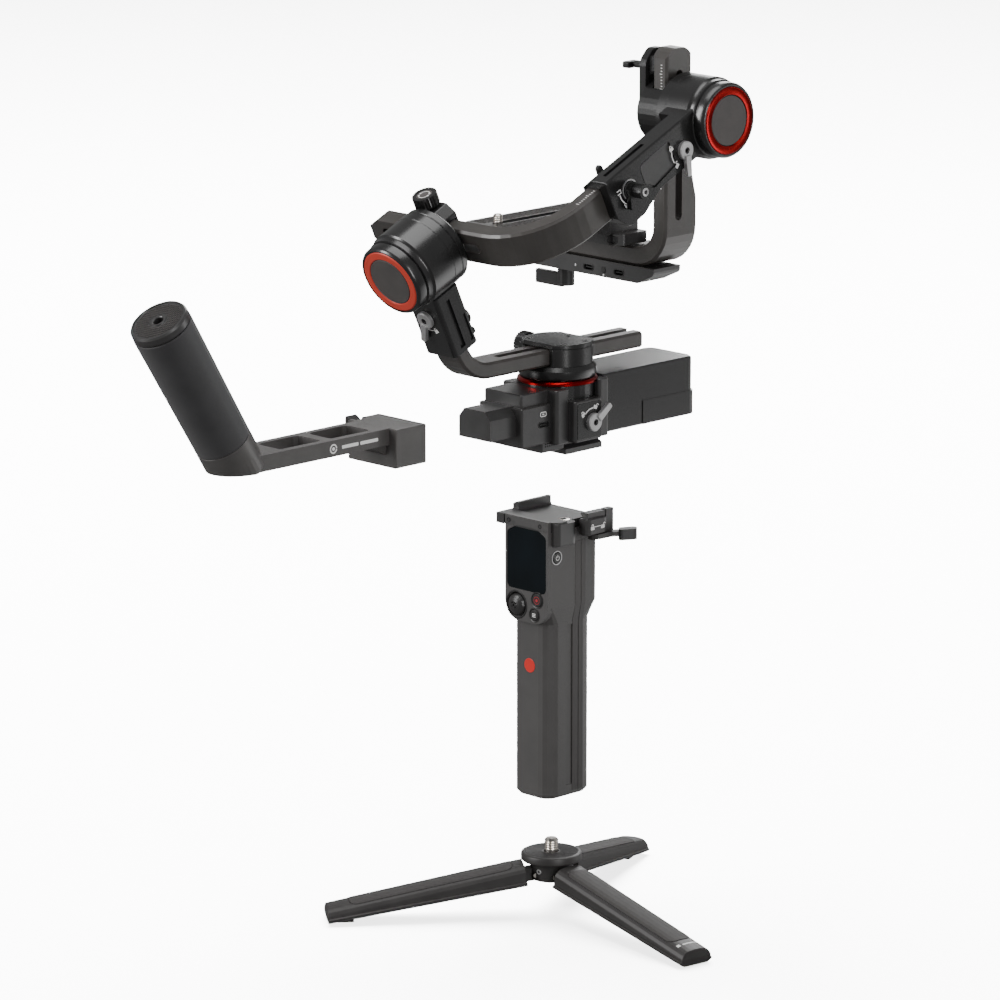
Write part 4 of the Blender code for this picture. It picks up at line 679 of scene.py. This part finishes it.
def knob_tops():
    """Recessed discs with a turning arrow on the two larger knobs."""
    for name, joint, body, top, radius in (
            ("roll_arm_knob", "roll_arm_knob_turn", "roll_knob", 9.2, 6.0),
            ("pan_arm_knob", "pan_arm_knob_turn", "pan_knob", 8.4, 5.5)):
        point, axis = node_axis(joint)
        out = axis if name.startswith("roll") else -axis
        side = Vector((0, 0, 1)) if abs(out.x) > 0.5 else Vector((1, 0, 0))
        seat = plane(point, side, out.cross(side))
        seat = seat @ Matrix.Translation((0, 0, (top - 0.75) * MM))
        piece(f"{name}_disc", "cap", body, seat, lambda mesh, size=radius: lathe(
            mesh, [(0, -0.2), (size, -0.2), (size, 0.25), (size - 0.4, 0.4), (0, 0.4)], 32))
        marks = []
        for start in (40, 220):
            marks += arrow_arc(radius * 0.62, start, start + 130, 0.5, 1.4)
        printed(f"{name}_arrows", body, seat @ Matrix.Translation((0, 0, 0.4 * MM)), marks)


def ticks(first, pitch, count, length, every=5, width=0.5):
    """Outlines of a scale along local x, longer at every fifth mark."""
    marks = []
    for index in range(count):
        x = first + pitch * index
        reach = length * (1.7 if index % every == 0 else 1.0)
        marks.append(stroke([(x, 0), (x, reach)], width))
    return marks


def scales():
    """Balance scales on the arms."""
    face = plane(in_roll(86.2 + 3.5, -12.2, 96.0), ROLL_AXIS, (-1, 0, 0))
    printed("roll_arm_scale", "middle_arm", face, ticks(0, 2.0, 9, 1.5))
    face = plane(spot(60.5, 35.5, 500.0), (0, 0, 1), (-1, 0, 0))
    printed("tilt_arm_scale", "camera_arm", face, ticks(0, 2.0, 13, 1.5))
    face = plane(spot(60.5, 35.5, 566.0), (0, 0, 1), (-1, 0, 0))
    printed("tilt_arm_upper_scale", "camera_arm", face, ticks(0, 2.0, 9, 1.3))


def base_details():
    """Charging port, its mark and speaker holes of the powered base."""
    face = plane(spot(20.0, -33.6, 345.8), (0, 1, 0), (0, 0, 1))

    def port(mesh):
        slab(mesh, rounded(-4.4, 4.4, -1.5, 1.5, 1.5), -1.6, -1.2)
    # near-black sheet deep in the port: painted shade
    piece("port_floor_shade", "painted_shade", "head", face, port)
    piece("port_tongue", "dark_steel", "head", face,
          lambda mesh: slab(mesh, rounded(-3.0, 3.0, -0.35, 0.35, 0.3), -1.4, -0.3))
    ring = face @ Matrix.Translation((0, 0, 0.01 * MM))
    piece("port_rim", "motor", "head", ring, lambda mesh: ring_wall(mesh, 4.5, 1.6, 0.5, 0.22))
    icon = [stroke(rounded(-2.6, 2.6, 5.7, 8.5, 0.7, 3) + [(2.6, 7.8)], 0.6),
            stroke([(-0.9, 7.1), (0.9, 7.1)], 0.8)]
    printed("port_mark", "head", face, icon)
    low = plane(spot(18.5, -26.0, 330.2), (0, 1, 0), (0, 0, 1))
    # speaker holes drawn as near-black dots: painted shade
    hole_shades = [circle(0.62, 10, (x * 2.0, y * 1.7)) for x in range(-2, 3) for y in (0, 1)]
    printed("speaker_hole_shade", "head", low, hole_shades, "painted_shade")


def ring_wall(mesh, half_x, half_y, wall, high):
    """Adds a thin rounded rim to a bmesh."""
    outer = rounded(-half_x - wall, half_x + wall, -half_y - wall, half_y + wall, half_y + wall)
    inner = rounded(-half_x, half_x, -half_y, half_y, half_y)
    lower = [[mesh.verts.new((x, y, z)) for x, y in ring] for ring, z in
             ((outer, -0.2), (outer, high), (inner, high), (inner, -0.2))]
    for first, second in zip(lower, lower[1:] + lower[:1]):
        wall_faces(mesh, first, second)


def grip_details():
    """Panel screws, key rings and marks, the stick's cross and the badge on the grip."""
    panel = plane(spot(0, -29.1, 0), (1, 0, 0), (0, 0, 1))

    def on_panel(x, z, lift=0.0):
        return panel @ Matrix.Translation((x * MM, z * MM, lift * MM))
    for index, x in enumerate((-16.8, 12.4), 1):
        hex_screw(f"panel_screw_{index}", "grip", on_panel(x, 274.6), 1.7, "dark_steel", 0.25)
    piece("stick_well_ring", "keys", "grip", on_panel(-9.2, 217.8), lambda mesh: tube(
        mesh, [(8.7, -0.3), (9.9, -0.3), (9.9, 0.1), (9.5, 0.45), (9.0, 0.45), (8.7, 0.1)], 56))
    cross = [rounded(-3.0, 3.0, -0.85, 0.85, 0.5, 3), rounded(-0.85, 0.85, -3.0, 3.0, 0.5, 3)]
    tip = on_panel(-9.2, 217.8, 2.1)

    def stick_cross(mesh):
        for outline in cross:
            slab(mesh, outline, -0.2, 0.9)
    piece("stick_cross", "keys", "stick", tip, stick_cross, ease=0.25)
    for name, x, z, radius, look in (("record", 10.2, 223.8, 4.6, "red_ink"),
                                     ("mode", 7.6, 213.2, 3.9, "ink")):
        piece(f"{name}_key_ring", "keys", "grip", on_panel(x, z), lambda mesh, r=radius: tube(
            mesh, [(r + 0.35, -0.3), (r + 1.1, -0.3), (r + 1.1, 0.1), (r + 0.8, 0.35),
                   (r + 0.35, 0.2)], 48))
        top = on_panel(x, z, 0.7)
        if name == "record":
            printed("record_dot", "record_key", top, [circle(1.1, 20)], look)
            printed("record_ring", "record_key", top, [thin_ring(2.5, 0.3)], look)
        else:
            bars = [stroke([(-1.5, y), (1.5, y)], 0.5) for y in (-1.0, 0.0, 1.0)]
            printed("mode_bars", "mode_key", top, bars, look)
    side = plane(spot(20.0, -20.6, 253.2), (0, 1, 0), (0, 0, 1))
    piece("side_key_ring", "silver", "grip", side, lambda mesh: tube(
        mesh, [(4.2, -0.3), (4.8, -0.3), (4.8, 0.2), (4.2, 0.2)], 48))
    badge = plane(spot(0.3, -26.2, 176.8), (1, 0, 0), (0, 0, 1))
    piece("grip_badge", "badge", "grip", badge, lambda mesh: lathe(
        mesh, [(0, -0.2), (4.9, -0.2), (4.9, 0.15), (4.7, 0.3), (0, 0.3)], 48))
    outline = [(17.66, 89.0), (17.66, 206.0), (20.14, 219.0), (20.14, 262.0), (19.4, 262.0),
               (19.4, 219.0), (16.9, 206.0), (16.9, 89.0)]
    for name, sense in (("right", 1), ("left", -1)):
        for part, low, high in (("rear", -2.2, 3.2), ("front", -6.8, -2.8)):
            piece(f"grip_inlay_{name}_{part}", "inlay", "grip", panel @ Matrix.Translation(
                (0, 0, -29.1 * MM)), lambda mesh, a=low, b=high, side=sense: slab(
                    mesh, [(x * side, z) for x, z in outline], a, b), ease=0.1)
    piece("panel_head", "plate", "grip", on_panel(0, 274.2), lambda mesh: slab(
        mesh, rounded(-19.9, 19.9, -3.2, 3.6, 1.6), -3.4, 0.0), ease=0.4)
    cap = side @ Matrix.Translation((0, 0, 0.8 * MM))
    power = [stroke(arc(1.5, 125, 415, 18), 0.4), stroke([(0, 0.3), (0, 2.0)], 0.4)]
    printed("side_key_mark", "side_key", cap, power)


lever_details()
turned_skins()
handle_details()
machined_details()
leg_mark()
handle_mark()
pan_label()
sleeve_marks()
knob_tops()
scales()
base_details()
grip_details()


# ---------------------------------------------------------------- camera, floor and light

CAMERA_EYE = (2726.8, -2780.7, 1199.4)
CAMERA_AIM = (-27.0, -27.0, 286.0)
LENS = 215.64
FLOOR_BOUNCE = 0.22             # light that the floor throws back on the object
FAR_FLOOR = 2.4                 # more of it from the floor behind, which the motors mirror
FLOOR_POWER = 4500              # watts of the lights that whiten the floor
WORLD_FILL = 0.30               # strength of the even light from all round
FLOOR_GREY = 0.70               # reflectance of the floor as the camera sees it
FLOOR_RADIUS = 5.0              # metres
LIGHT_AIM = Vector((0, 0, 0.35))
LIGHTS = (                      # name, place and size in metres, watts
    ("overhead", (0.0, 0.0, 2.3), (1.6, 1.6), 28),
    ("left_front", (-1.3, -2.2, 1.3), (0.7, 1.8), 62),
    ("right_front", (2.5, -0.7, 0.9), (0.4, 1.8), 30),
    ("right_back", (1.5, 2.3, 0.45), (0.4, 0.9), 7),
    ("back", (-1.4, 2.2, 1.6), (0.8, 1.6), 24),
)


def camera():
    data = bpy.data.cameras.new("camera")
    data.lens = LENS
    data.sensor_width = 36.0
    data.clip_end = 50.0
    item = bpy.data.objects.new("camera", data)
    bpy.context.scene.collection.objects.link(item)
    eye, aim = spot(*CAMERA_EYE), spot(*CAMERA_AIM)
    item.location = eye
    item.rotation_euler = (aim - eye).to_track_quat("-Z", "Y").to_euler()
    bpy.context.scene.camera = item


def floor():
    """Flat round pale floor."""
    shape = bmesh.new()
    lathe(shape, [(0, 0), (3.0, 0), (FLOOR_RADIUS, 0)], 64)
    data = bpy.data.meshes.new("floor")
    shape.to_mesh(data)
    shape.free()
    data.materials.append(studio_white())
    item = bpy.data.objects.new("floor", data)
    bpy.context.scene.collection.objects.link(item)
    item.location = (0, 0, -0.0002)
    return item


def studio_white():
    """White floor with a soft shadow, which throws light back mostly from a patch behind."""
    white = bpy.data.materials.new("floor_white")
    white.use_nodes = True
    nodes, links = white.node_tree.nodes, white.node_tree.links
    nodes.clear()
    output = nodes.new("ShaderNodeOutputMaterial")
    choice = nodes.new("ShaderNodeMixShader")
    seen = nodes.new("ShaderNodeBsdfDiffuse")
    seen.inputs["Color"].default_value = (FLOOR_GREY, FLOOR_GREY, FLOOR_GREY, 1)
    bounced = nodes.new("ShaderNodeEmission")
    place = nodes.new("ShaderNodeTexCoord")
    mapping = nodes.new("ShaderNodeMapping")
    mapping.vector_type = "TEXTURE"
    mapping.inputs["Location"].default_value = (0.25, 1.05, 0.0)
    mapping.inputs["Scale"].default_value = (0.9, 0.9, 1.0)
    patch = nodes.new("ShaderNodeTexGradient")
    patch.gradient_type = "SPHERICAL"
    level = nodes.new("ShaderNodeMapRange")
    level.inputs["To Min"].default_value = FLOOR_BOUNCE
    level.inputs["To Max"].default_value = FLOOR_BOUNCE + FAR_FLOOR
    links.new(place.outputs["Object"], mapping.inputs["Vector"])
    links.new(mapping.outputs["Vector"], patch.inputs["Vector"])
    links.new(patch.outputs["Fac"], level.inputs["Value"])
    links.new(level.outputs["Result"], bounced.inputs["Strength"])
    path = nodes.new("ShaderNodeLightPath")
    links.new(path.outputs["Is Camera Ray"], choice.inputs["Fac"])
    links.new(bounced.outputs["Emission"], choice.inputs[1])
    links.new(seen.outputs["BSDF"], choice.inputs[2])
    links.new(choice.outputs["Shader"], output.inputs["Surface"])
    return white


def area_light(name, place, size, power):
    data = bpy.data.lights.new(name, "AREA")
    data.shape = "RECTANGLE"
    data.size, data.size_y = size
    data.energy = power
    item = bpy.data.objects.new(name, data)
    bpy.context.scene.collection.objects.link(item)
    item.location = place
    aim = LIGHT_AIM - Vector(place)
    item.rotation_euler = aim.to_track_quat("-Z", "Y").to_euler()
    return item


def lights(ground):
    world = bpy.data.worlds.new("studio")
    world.use_nodes = True
    nodes, links = world.node_tree.nodes, world.node_tree.links
    nodes["Background"].inputs["Color"].default_value = (1, 1, 1, 1)
    nodes["Background"].inputs["Strength"].default_value = WORLD_FILL
    bpy.context.scene.world = world
    for entry in LIGHTS:
        area_light(*entry)
    only_floor = bpy.data.collections.new("lit_by_floor_light")
    only_floor.objects.link(ground)
    for name, share in (("floor_light", 0.55), ("floor_fill", 0.45)):
        item = area_light(name, (-1.5, 1.1, 4.2), (4.5, 4.5), FLOOR_POWER * share)
        item.light_linking.receiver_collection = only_floor
        if name == "floor_fill":
            item.light_linking.blocker_collection = only_floor


camera()
lights(floor())
